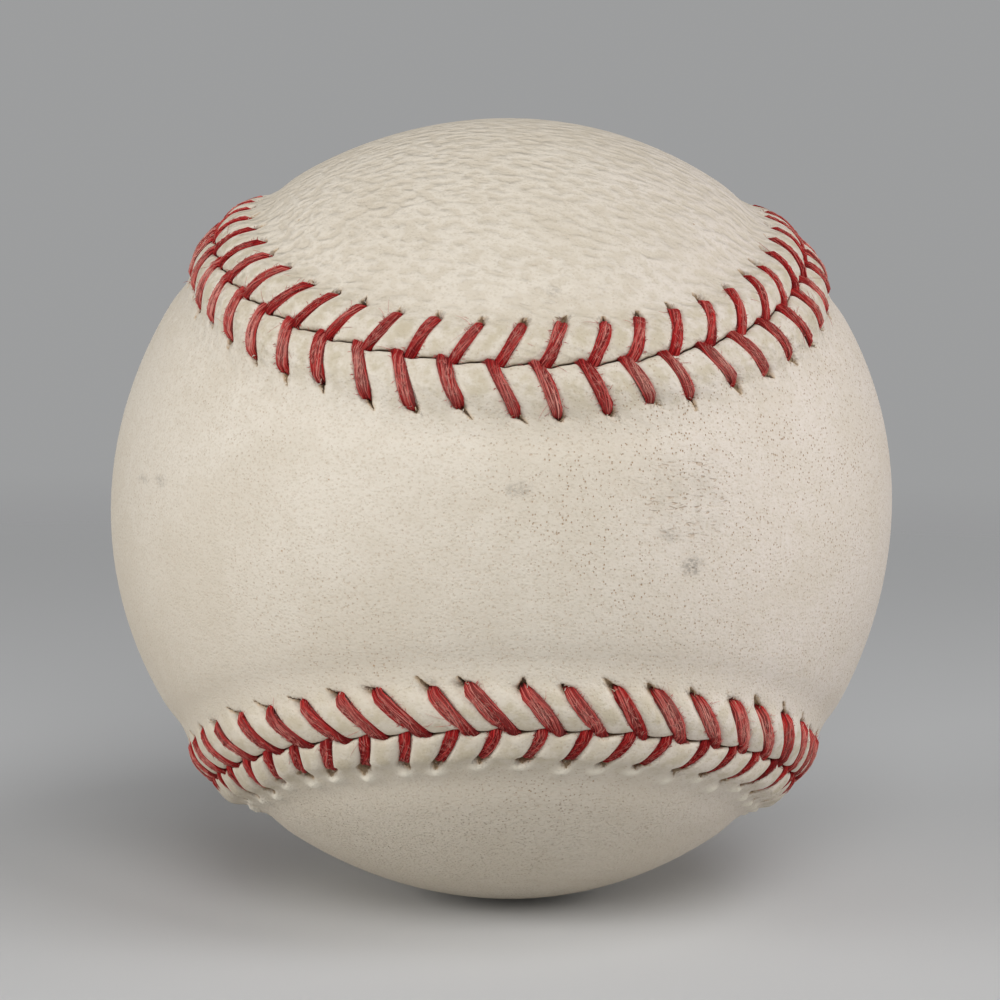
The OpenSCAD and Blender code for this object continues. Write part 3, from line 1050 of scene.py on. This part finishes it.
def leather_masks(board, effects):
    """The masks that the leather's colour and its relief share."""
    position = board.position()
    place = board.parts(position)
    right, high = place[0], place[2]
    form = board.parts(board.mark("hole_form", "Vector"))
    ragged = board.noise(position, 2.6, 3, 0.6)
    upper = board.product(board.span(high, *UPPER_HEIGHTS),
                          board.span(board.absolute(right), *UPPER_SIDES, 1, 0.1))
    lip = board.mark("lip")
    folded = patch_mask(board, position, *FOLDED)
    creased = board.span(board.noise(position, 0.07, 2), 0.6, 0.75, 0.0, 0.4)
    smooth = board.minus(1.0, board.larger(board.product(upper, 0.85), board.product(lip, 0.6)))
    porous = board.product(board.span(board.noise(position, 0.06, 2), 0.42, 0.62, 0.62, 1.3),
                           board.span(right, *POROUS_SIDE, 0.6, 1.3))
    pore_size = board.plus(board.product(board.noise(position, 1.5, 2), 0.26), 0.12)

    def specks(place, **kind):
        return board.group(effects["specks"], Position=place, **kind)[0]

    return SimpleNamespace(
        position=position, right=right, high=high, closeness=form[2], chance=form[1], ragged=ragged,
        upper=upper, lip=lip, folded=folded, smooth=smooth,
        grain=board.group(effects["grain"], Position=position,
                          Ripple=board.plus(board.product(upper, 5.4), 0.4),
                          Folds=board.larger(folded, creased, board.product(upper, 0.04))),
        pores=board.product(specks(board.scaled(position, (1, 1, 0.78)), Size=pore_size, **PORES),
                            porous, smooth),
        hair_holes=specks(position, **HAIR_HOLES),
        dark_specks=specks(position, **DARK_SPECKS),
        dust=specks(position, **LEATHER_DUST),
        stipple=board.span(board.noise(board.scaled(position, (0.7, 1, 1.1)), 4.2, 1), 0.52, 0.68),
        mottle=board.noise(position, 0.1, 3, 0.55, 0.3),
        blotch=board.noise(position, 0.6, 3, 0.6),
        holes=hole_masks(board, form, ragged),
    )


def hide_colour(board, colours, masks):
    """Colour of the leather away from the holes: its shades, old stains, pores, specks and smudges, dirt and
    painted shade in its creases, and painted highlight on the pillow edges beside the stitches.
    """
    grain, lip, smooth, closeness = masks.grain, masks.lip, masks.smooth, masks.closeness
    old = board.plus(masks.high, board.product(masks.right, 0.35))
    wrinkled = board.product(board.span(grain["Wrinkles"], 0.38, 0.55, 1, 0),
                             board.plus(board.product(masks.upper, 0.42), 0.1))
    stained = board.product(board.span(board.noise(masks.position, 0.7, 3, 0.6), 0.38, 0.62, 0, 0.68),
                            board.span(closeness, -0.8, 0.4, 1, 0.25), lip)
    # A pale band of painted highlight on the pillow edges beside the stitches
    beside = board.product(board.band(closeness, (-0.2, 0.3), (0.6, 0.9)), lip)
    worked = board.noise(board.scaled(masks.position, (0.7, 1, 1.2)), 3.0, 4, 0.7)
    worked = board.span(worked, 0.4, 0.6, 0.2, 1.05)
    drifted = board.warped(masks.position, 0.9, 1.6)
    smudged = [board.product(patch_mask(board, drifted, place, size), worked, strength)
               for place, size, strength in SMUDGES]
    return board.coats(
        colours.ivory,
        (board.span(masks.right, *ROSY_SIDE), colours.rosy),
        (board.span(masks.mottle, 0.4, 0.66, 0, 0.32), colours.beige),
        (board.span(masks.blotch, 0.42, 0.66, 0, 0.14), colours.beige),
        (board.span(old, *AGED_HEIGHTS, 0, 0.5), colours.beige),
        (board.span(grain["Grain"], 0.35, 0.7, 0.5, 0), colours.beige),
        (wrinkled, colours.beige),
        (stained, colours.stain),
        (board.product(beside, 0.35), colours.scuff_and_highlight),
        (board.product(masks.pores, board.span(masks.high, *UNDERSIDE_HEIGHTS, 0.5, 0.28)), colours.pore),
        (board.product(masks.hair_holes, smooth, 0.38), colours.pore),
        (board.product(masks.stipple, smooth, 0.1), colours.pore),
        # dirt and painted shade in the creases
        (board.product(grain["Creases"], 0.54), colours.pore),
        (board.product(masks.folded, board.span(masks.blotch, 0.35, 0.6), 0.1), colours.smudge),
        (board.product(masks.dark_specks, 0.75), colours.pore),
        (board.product(masks.dust, 0.4), colours.smudge),
        *((patch, colours.smudge) for patch in smudged),
    )


def hole_colour(board, colours, masks, hide):
    """Colour of the whole leather: the hide with its torn holes painted dark inside as shade, the painted
    highlight on the rims past them, and the dirt and painted shade in the seam.
    """
    ragged = masks.ragged
    slit, raw, film, pulled = masks.holes
    # The slit and the pocket past each stitch are painted dark inside, as shade; shallow holes lighter
    pocket = board.product(board.mark("pocket"), board.span(ragged, 0.4, 0.5, 0.5, 1))
    inside = board.mix(board.span(masks.chance, 0.05, 0.7), colours.hole, SHALLOW_HOLE_SHADE)
    return board.coats(
        hide,
        # pale scuff and painted highlight on the raised rims past the back holes
        (board.product(board.mark("rim"), 0.8), colours.scuff_and_highlight),
        (board.product(board.span(pulled, 0.3, 1), 0.12), colours.pore),
        (board.product(raw, board.span(ragged, 0.4, 0.55, 0.35, 0.95)), colours.tan),
        (board.product(film, 0.7), LIFTED_FILM),
        # dirt and painted shade in the seam gap, on its edges and on the flesh side
        (board.span(board.mark("grime"), 0.25, 0.6), SEAM_GRIME_AND_SHADE),
        (board.larger(slit, pocket), inside),
    )


def leather_height(board, masks):
    """Relief of the leather: grain, pores and ripples, a pebbled underside, and the edges of the holes."""
    slit, raw, film, pulled = masks.holes
    grain = masks.grain
    pebbled = board.product(board.minus(grain["Grain"], board.product(masks.pores, 0.7)),
                            board.span(masks.high, *UNDERSIDE_HEIGHTS, 0.0, 1.5))
    risen = board.plus(grain["Height"], pebbled, board.product(pulled, 0.3), board.product(film, 0.6))
    return board.minus(risen, board.product(masks.pores, 0.4), board.product(masks.hair_holes, 0.25),
                       board.product(slit, 0.8))


def leather_material(colours, effects):
    """Aged full-grain leather: ivory with faint stains, pores, ripples and specks, and torn holes."""
    material, board = new_material("cover_leather")
    masks = leather_masks(board, effects)
    colour = hole_colour(board, colours, masks, hide_colour(board, colours, masks))
    roughness = board.plus(masks.mottle, board.product(masks.blotch, 0.4))
    roughness = board.span(roughness, 0.4, 1.0, 0.5, 0.64)
    board.surface(colour, roughness, leather_height(board, masks), 0.08 * MM, Specular_IOR_Level=0.38)
    return material


def thread_material(name, colours, effects, fuzzy=0.0, shade=0.0):
    """Waxed red thread, deep red where it dives and rubbed pale on top, with painted shade in the gaps
    between its fibres. fuzzy pales it, and shade paints it dark as the shade under the strands.
    """
    material, board = new_material(name)
    fibre = board.group(effects["fibres"], Position=board.mark("fibre", "Vector"))
    tone = fibre["Tone"]
    patchy = board.noise(board.position(), 0.9, 2)
    worn = board.product(board.mark("worn"), board.span(patchy, 0.3, 0.7, 0.7, 1.25))
    worn = board.plus(worn, board.product(board.minus(tone, 0.5), 1.3))
    colour = board.coats(
        colours.deep_red,
        (board.span(worn, 0.0, 1.0), colours.worn_red),
        (board.span(worn, 0.8, 1.6, 0, 0.7), colours.fuzz),
        # dark strands, and painted shade at a stitch's sides
        (board.span(worn, -0.5, 0.2, 0.7, 0), DARK_THREAD_AND_SHADE),
        (fuzzy, colours.fuzz),
        # painted shade in the gaps between the fibres
        (board.span(fibre["Height"], 0.38, 0.55, 0.75, 0), DARK_THREAD_AND_SHADE),
        (shade, DARK_THREAD_AND_SHADE),
    )
    board.surface(colour, board.span(tone, 0.3, 0.7, 0.6, 0.85), fibre["Height"], 0.07 * MM,
                  Specular_IOR_Level=0.12, Sheen_Weight=0.03, Sheen_Roughness=0.5)
    return material


def torn_material(colours):
    """Raw leather of the torn shreds at the holes, from pale film to brown fibre."""
    material, board = new_material("torn_leather")
    tone = board.mark("tone")
    ragged = board.noise(board.position(), 3.0, 3, 0.7)
    colour = board.coats(
        TORN_FILM,
        (board.span(tone, 0.2, 0.7), colours.tan),
        (board.span(tone, 0.75, 0.95, 0, 0.7), TORN_BROWN),
        (board.span(ragged, 0.5, 0.75, 0, 0.5), TORN_DIRT),
    )
    board.surface(colour, board.span(ragged, 0.3, 0.7, 0.65, 0.85), ragged, 0.03 * MM)
    return material


def yarn_material(name, colour, shade, width, effects):
    """Wool or cotton yarn wound over the layer below, with painted shade between its turns."""
    material, board = new_material(name)
    wound = board.group(effects["winding"], Position=board.position(), Yarn=width / MM)
    shown = board.mix(board.span(wound["Tone"], 0.1, 0.9), shade, colour)
    rough = board.span(wound["Tone"], 0, 1, 0.95, 0.8)
    board.surface(shown, rough, wound["Height"], 0.3 * width, Sheen_Weight=0.3)
    return material


def moulded_material(name, colour, pale, effects):
    """Moulded rubber with a faint bloom and dust."""
    material, board = new_material(name)
    position = board.position()
    bloom = board.noise(position, 0.35, 4, 0.6)
    dust = board.group(effects["specks"], Position=position, **RUBBER_DUST)[0]
    shown = board.mix(board.span(bloom, 0.4, 0.75, 0, 0.5), colour, pale)
    shown = board.mix(board.product(dust, 0.4), shown, pale)
    board.surface(shown, board.span(bloom, 0.3, 0.7, 0.5, 0.7), board.noise(position, 4.0, 2), 0.02 * MM)
    return material


def cork_material(effects):
    """Ground cork and rubber pressed together."""
    material, board = new_material("cork")
    position = board.position()
    rubber = board.group(effects["specks"], Position=position, **RUBBER_GRAINS)[0]
    shown = board.mix(board.cells(position, 0.7)["Color"], CORK_DARK, CORK_PALE)
    shown = board.mix(rubber, shown, CORK_RUBBER)
    edges = board.cells(position, 0.7, feature="DISTANCE_TO_EDGE")["Distance"]
    board.surface(shown, board.span(edges, 0, 0.3, 0.9, 0.75), board.span(edges, 0, 0.15), 0.15 * MM)
    return material


def cement_material():
    """Thin brushed coat of rubber cement."""
    material, board = new_material("cement")
    brushed = board.noise(board.scaled(board.position(), (0.3, 2, 0.3)), 1.2, 4, 0.6, 0.5)
    shown = board.mix(board.span(brushed, 0.35, 0.7), CEMENT_THIN, CEMENT_THICK)
    board.surface(shown, board.span(brushed, 0.3, 0.7, 0.35, 0.6), brushed, 0.05 * MM, Coat_Weight=0.2)
    return material


def stitch_courses(ball):
    """The courses of both panels' stitches, the same each time."""
    rng = np.random.default_rng(ball.lacing.seed + 1)
    return [StitchCourse(ball, side, rng) for side in (FRONT, BACK)]


def thread_bmesh():
    """An empty bmesh for thread."""
    return new_bmesh("worn", vectors=("fibre",))


class BALL_OT_cover(Operator):
    """Build the two leather panels with their lips, pillows and torn stitch holes"""

    bl_idname = "ball.cover"
    bl_label = "Leather Cover"

    def execute(self, context):
        ball = Ball(context.scene)
        leather = leather_material(context.scene.ball_colours, shared_effects())
        for side, name in ((FRONT, "front_cover"), (BACK, "back_cover")):
            add_piece(cover_panel(ball, side), name, leather, (name + "_panel",))
        return {"FINISHED"}


class BALL_OT_stitches(Operator):
    """Build the visible stitches of three flattened plies each"""

    bl_idname = "ball.stitches"
    bl_label = "Seam Stitches"

    sides = 6
    twist = 0.35 / MM
    # The plies are painted dark, as the shade in the gaps between their strands
    shade = 0.72

    def execute(self, context):
        bm = thread_bmesh()
        for course in stitch_courses(Ball(context.scene)):
            for number in range(course.plies):
                centre, across, off = course.tube(*course.ply(number))
                add_tubes(bm, centre, across, off, self.sides, {"worn": course.worn}, twist=self.twist)
        close_up(bm)
        red = thread_material("seam_thread", context.scene.ball_colours, shared_effects(), shade=self.shade)
        add_piece(bm, "seam_stitches", red, ("seam_thread",))
        return {"FINISHED"}


class BALL_OT_strands(Operator):
    """Build the fine strands on the plies of each stitch"""

    bl_idname = "ball.strands"
    bl_label = "Thread Strands"

    # A strand's start round its ply as a share of half a turn, its mean drift round it and that drift's
    # spread, the size and number of its wavers, and its least and greatest radius in millimetres
    starts = (0.02, 0.98)
    drifts = (0.3, 0.6)
    waver = 0.22
    wavers = 9
    radii = (0.035, 0.07)
    # How a strand's wear differs from its stitch's: all over, at the sides by painted shade, and by chance
    pale = 0.15
    side_shade = 0.6
    wear_spread = 0.3

    def execute(self, context):
        ball = Ball(context.scene)
        lacing = ball.lacing
        rng = np.random.default_rng(lacing.seed + 2)
        red = thread_material("thread_strands", context.scene.ball_colours, shared_effects())
        one = (lacing.stitches, 1)
        for course, name in zip(stitch_courses(ball), ("front_strands", "back_strands")):
            bm = thread_bmesh()
            for number in range(course.plies * lacing.strands):
                start = rng.uniform(*self.starts, one) * np.pi
                drift = rng.normal(*self.drifts, one)
                phase = rng.uniform(0, 2 * np.pi, one)
                wander = self.waver * np.sin(self.wavers * course.share + phase)
                angle = start + drift * (course.share - 0.5) + wander
                radius = rng.uniform(*self.radii, one) * MM * np.ones(course.share.shape)
                centre, across, off = course.strand(number % course.plies, angle, radius)
                aside = ((centre - course.centre) * course.across).sum(axis=2) / course.half_width
                # the sides of a stitch are painted darker, as shade
                worn = course.worn + self.pale - self.side_shade * aside**2
                worn = worn + rng.normal(0, self.wear_spread, one)
                add_tubes(bm, centre, across, off, 3, {"worn": worn})
            close_up(bm)
            add_piece(bm, name, red)
        return {"FINISHED"}


def add_side_hairs(bm, course, rng, rings, lengths, thickness, spread):
    """Adds one hair to a side of each stitch, its length and thickness in millimetres."""
    stitches, points = course.share.shape
    one = (stitches, 1)
    way = np.linspace(0, 1, rings)[None, :, None]
    pick = np.arange(stitches)
    ring = rng.integers(2, points - 2, stitches)
    part = rng.uniform(0, 1, one)
    side = rng.choice([-1, 1], stitches)[:, None]
    across = course.across[pick, ring] * side
    off = course.off[pick, ring]
    heading = np.cross(across, off)
    middle = course.centre[pick, ring] * (1 - part) + course.centre[pick, ring + 1] * part
    root = middle + across * (course.half_width[pick, ring] * ROOT_ASIDE)[:, None]
    root = root + off * (course.half_thick[pick, ring] * ROOT_RISE)[:, None]
    length = rng.uniform(*lengths, one) * MM
    aim = unit(across + heading * rng.normal(0, spread, one) + off * rng.uniform(*HAIR_LIFT, one))
    bend = unit(heading * rng.normal(0, 1, one) - off * HAIR_DROOP) * length * HAIR_BEND
    centre = root[:, None] + aim[:, None] * length[:, None] * way + bend[:, None] * way**2
    add_hair_tubes(bm, centre, heading, off, thickness * MM, rng.uniform(*HAIR_WEAR, one))


def add_cross_hairs(bm, course, rng):
    """Adds one pale fibre that lies across the top of each stitch."""
    stitches, points = course.share.shape
    one = (stitches, 1)
    way = np.linspace(-0.5, 0.5, FUZZ_RINGS)[None, :, None]
    pick = np.arange(stitches)
    ring = rng.integers(3, points - 3, stitches)
    across, off = course.across[pick, ring], course.off[pick, ring]
    heading = np.cross(across, off)
    place = rng.uniform(*FUZZ_PLACES, one)
    top = course.half_thick[pick, ring][:, None] * np.sqrt(1 - place**2) * FUZZ_RISE
    middle = course.centre[pick, ring] + across * course.half_width[pick, ring][:, None] * place + off * top
    turn = rng.normal(0, FUZZ_TURN, one)
    length = rng.uniform(*FUZZ_LENGTHS, one) * MM
    aim = heading * np.cos(turn) + across * np.sin(turn)
    bend = (across * rng.normal(0, FUZZ_SWAY, one) - off * FUZZ_DROOP) * length
    centre = middle[:, None] + aim[:, None] * length[:, None] * way + bend[:, None] * way**2
    worn = course.worn[pick, ring][:, None] + rng.uniform(*FUZZ_WEAR, one)
    add_hair_tubes(bm, centre, across, off, FUZZ_THICKNESS, worn)


def add_hair_tubes(bm, centre, sideways, off, thickness, worn):
    """Adds tapered three-sided tubes along centre lines, each as worn as told."""
    rings = centre.shape[1]
    radius = thickness * np.sin(np.pi * np.linspace(0, 1, rings)) ** 0.5
    radius[[0, -1]] = 0
    wide = sideways[:, None] * radius[None, :, None]
    tall = off[:, None] * radius[None, :, None]
    add_tubes(bm, centre, wide, tall, 3, {"worn": worn * np.ones(rings)})


class BALL_OT_hairs(Operator):
    """Build the fringe, the fuzz and the loose hairs of the stitches"""

    bl_idname = "ball.hairs"
    bl_label = "Thread Hairs"

    fuzzy = 0.15

    def execute(self, context):
        ball = Ball(context.scene)
        lacing = ball.lacing
        rng = np.random.default_rng(lacing.seed + 3)
        bm = thread_bmesh()
        for course in stitch_courses(ball):
            for hair in range(lacing.fringe):
                add_side_hairs(bm, course, rng, **FRINGE_HAIRS)
            for hair in range(lacing.fuzz):
                add_cross_hairs(bm, course, rng)
            for hair in range(lacing.hairs):
                add_side_hairs(bm, course, rng, **LOOSE_HAIRS)
        close_up(bm)
        red = thread_material("thread_hairs", context.scene.ball_colours, shared_effects(), fuzzy=self.fuzzy)
        add_piece(bm, "thread_hairs", red)
        return {"FINISHED"}


class BALL_OT_torn_holes(Operator):
    """Build the little torn shreds of leather at the stitch holes"""

    bl_idname = "ball.torn_holes"
    bl_label = "Torn Holes"

    shreds = 3
    rings = 5
    # Least and greatest sizes of a shred and places of its foot, in millimetres
    lengths = (0.15, 0.7)
    half_widths = (0.02, 0.08)
    feet_aside = (0.05, 0.45)
    feet_past = (-0.1, 0.5)
    lifts = (0, 0.1)
    thickness = 0.016 * MM
    # How far the shreds stray, turn in over the slit and curl
    stray = 0.5
    inward = 0.2
    curl = 0.25
    # How deep a shred lies, and how much deeper its root does
    sunk = 0.06 * MM
    root_sunk = 0.08 * MM

    def execute(self, context):
        ball = Ball(context.scene)
        rng = np.random.default_rng(ball.lacing.seed + 4)
        bm = new_bmesh("tone", vectors=("fibre",))
        way = np.linspace(0, 1, self.rings)[None, :]
        for side in (FRONT, BACK):
            lacing = ball.sides[side]
            stitch = np.arange(lacing.count)[:, None]
            one = stitch.shape
            for shred in range(self.shreds):
                run, across = lacing.at(stitch, np.ones(one))
                left = rng.choice([-1, 1], one)
                foot = left * rng.uniform(*self.feet_aside, one) * MM
                length = rng.uniform(*self.lengths, one) ** 1.5 * MM
                turn = rng.normal(0, self.stray, one) - left * self.inward
                curl = rng.normal(0, self.curl, one) * length * way**2
                run = run + foot + np.sin(turn) * length * way + curl
                across = across + rng.uniform(*self.feet_past, one) * MM + np.cos(turn) * length * way
                away = ball.direction(side, run, across)
                rooted = self.root_sunk * (way < 0.1)
                lift = rng.uniform(*self.lifts, one) * MM * np.sin(2.5 * way) - rooted
                height = ball.swell(across) + ball.waves(away) + lift - self.sunk
                centre = away * (COVER_RADIUS + height)[..., None]
                sideways = unit(np.cross(away, np.gradient(away, axis=1)))
                taper = np.clip(1 - way, 0, 1) ** 0.7 * (way > 0) * np.ones(one)
                wide = sideways * (rng.uniform(*self.half_widths, one) * MM * taper)[..., None]
                tall = away * (self.thickness * taper)[..., None]
                tone = rng.uniform(0, 1, one) * np.ones(way.shape)
                add_tubes(bm, centre, wide, tall, 4, {"tone": tone})
        close_up(bm)
        add_piece(bm, "torn_shreds", torn_material(context.scene.ball_colours))
        return {"FINISHED"}


class BALL_OT_core(Operator):
    """Finish the cork, rubber, wool and cement layers inside the cover"""

    bl_idname = "ball.core"
    bl_label = "Wound Core"

    def execute(self, context):
        effects = shared_effects()
        made = {"cork": cork_material(effects), "cement": cement_material()}
        for name, (colour, pale) in RUBBERS.items():
            made[name] = moulded_material(name, colour, pale, effects)
        for name, (colour, shade, width) in YARNS.items():
            made[name] = yarn_material(name, colour, shade, width, effects)
        for node, material in CORE_LAYERS.items():
            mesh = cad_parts[node].data
            mesh.materials.clear()
            mesh.materials.append(made[material])
        return {"FINISHED"}


def add_lamp(name, power, place):
    """A square soft lamp at place, facing the ball."""
    light = bpy.data.lights.new(name, "AREA")
    light.energy = power
    light.size = LAMP_SIZE
    lamp = bpy.data.objects.new(name, light)
    lamp.location = place
    lamp.rotation_euler = (-place).to_track_quat("-Z", "Y").to_euler()
    bpy.context.scene.collection.objects.link(lamp)


class BALL_OT_stage(Operator):
    """Set up the camera, the lamps, the even sky and the pale floor"""

    bl_idname = "ball.stage"
    bl_label = "Stage"

    floor_radius = 3.0
    floor_sides = 96
    floor_roughness = 0.9
    fade_start = 0.12
    fade_end = 0.48
    sensor_width = 36
    near_limit = 0.01

    def execute(self, context):
        stage = context.scene.ball_stage
        self.camera(context.scene, stage)
        for name, place in LAMP_PLACES.items():
            add_lamp(name + "_lamp", getattr(stage, name + "_power"), Vector(place))
        self.sky(context.scene, stage)
        self.floor(stage)
        context.scene.view_settings.view_transform = "Standard"
        return {"FINISHED"}

    def camera(self, scene, stage):
        """A camera that sees the ball's outline as wide as in the photograph."""
        data = bpy.data.cameras.new("camera")
        data.sensor_width = self.sensor_width
        half = stage.outline_width / 2
        sight = math.sqrt((stage.camera_distance / COVER_RADIUS) ** 2 - 1)
        data.lens = half * sight * self.sensor_width
        data.shift_x = -stage.centre_right
        data.shift_y = stage.centre_down
        data.clip_start = self.near_limit
        turn = Vector(stage.camera_turn)
        turned = Matrix.Rotation(-turn.length, 4, turn)
        facing = Matrix.Rotation(math.pi / 2, 4, "X")
        camera = bpy.data.objects.new("camera", data)
        camera.matrix_world = turned @ Matrix.Translation((0, -stage.camera_distance, 0)) @ facing
        scene.collection.objects.link(camera)
        scene.camera = camera

    def sky(self, scene, stage):
        """Even light from all round. The camera, mirrors and glass see the backdrop's colour instead."""
        world = bpy.data.worlds.new("studio")
        world.use_nodes = True
        world.node_tree.nodes.clear()
        board = Board(world.node_tree)
        light = board.node("Background", {0: (1, 1, 1, 1), 1: stage.sky})
        shown = board.node("Background", {0: (*stage.backdrop, 1), 1: 1.0})
        path = board.node("LightPath").outputs
        seen = board.larger(path["Is Camera Ray"], path["Is Glossy Ray"], path["Is Transmission Ray"])
        both = board.node("MixShader", {0: seen, 1: light.outputs[0], 2: shown.outputs[0]})
        board.node("OutputWorld", {"Surface": both.outputs[0]})
        scene.world = world

    def floor(self, stage):
        """A pale floor that fades into the backdrop."""
        bm = bmesh.new()
        bmesh.ops.create_circle(bm, cap_ends=True, segments=self.floor_sides, radius=self.floor_radius)
        bmesh.ops.translate(bm, verts=bm.verts, vec=(0, 0, FLOOR_HEIGHT))
        mesh = bpy.data.meshes.new("floor")
        bm.to_mesh(mesh)
        bm.free()
        material, board = new_material("floor")
        away = board.length(board.node("TexCoord").outputs["Object"])
        fade = board.span(away, self.fade_start, self.fade_end)
        sockets = {"Base Color": (*stage.floor, 1), "Roughness": self.floor_roughness}
        matte = board.node("BsdfPrincipled", sockets)
        clear = board.node("BsdfTransparent")
        both = board.node("MixShader", {0: fade, 1: matte.outputs[0], 2: clear.outputs[0]})
        board.node("OutputMaterial", {"Surface": both.outputs[0]})
        mesh.materials.append(material)
        floor = bpy.data.objects.new("floor", mesh)
        bpy.context.scene.collection.objects.link(floor)


class VIEW3D_PT_ball(Panel):
    """The ball's settings, and the operators that build it"""

    bl_idname = "VIEW3D_PT_ball"
    bl_label = "Laced Leather Ball"
    bl_space_type = "VIEW_3D"
    bl_region_type = "UI"
    bl_category = "Ball"

    def draw(self, context):
        for settings in (getattr(context.scene, name) for name in SETTINGS):
            box = self.layout.box()
            for name in settings.__annotations__:
                box.prop(settings, name)
        for operator in OPERATORS:
            self.layout.operator(operator.bl_idname)


OPERATORS = (
    BALL_OT_cover,
    BALL_OT_stitches,
    BALL_OT_strands,
    BALL_OT_hairs,
    BALL_OT_torn_holes,
    BALL_OT_core,
    BALL_OT_stage,
)
SETTINGS = {
    "ball_cover": CoverSettings,
    "ball_lacing": LacingSettings,
    "ball_colours": ColourSettings,
    "ball_stage": StageSettings,
}


def register():
    for settings in SETTINGS.values():
        bpy.utils.register_class(settings)
    for name, settings in SETTINGS.items():
        setattr(bpy.types.Scene, name, PointerProperty(type=settings))
    for operator in OPERATORS:
        bpy.utils.register_class(operator)
    bpy.utils.register_class(VIEW3D_PT_ball)


def unregister():
    bpy.utils.unregister_class(VIEW3D_PT_ball)
    for operator in reversed(OPERATORS):
        bpy.utils.unregister_class(operator)
    for name in SETTINGS:
        delattr(bpy.types.Scene, name)
    for settings in reversed(tuple(SETTINGS.values())):
        bpy.utils.unregister_class(settings)


def main():
    register()
    bpy.ops.ball.cover()
    bpy.ops.ball.stitches()
    bpy.ops.ball.strands()
    bpy.ops.ball.hairs()
    bpy.ops.ball.torn_holes()
    bpy.ops.ball.core()
    bpy.ops.ball.stage()


if __name__ == "__main__":
    main()
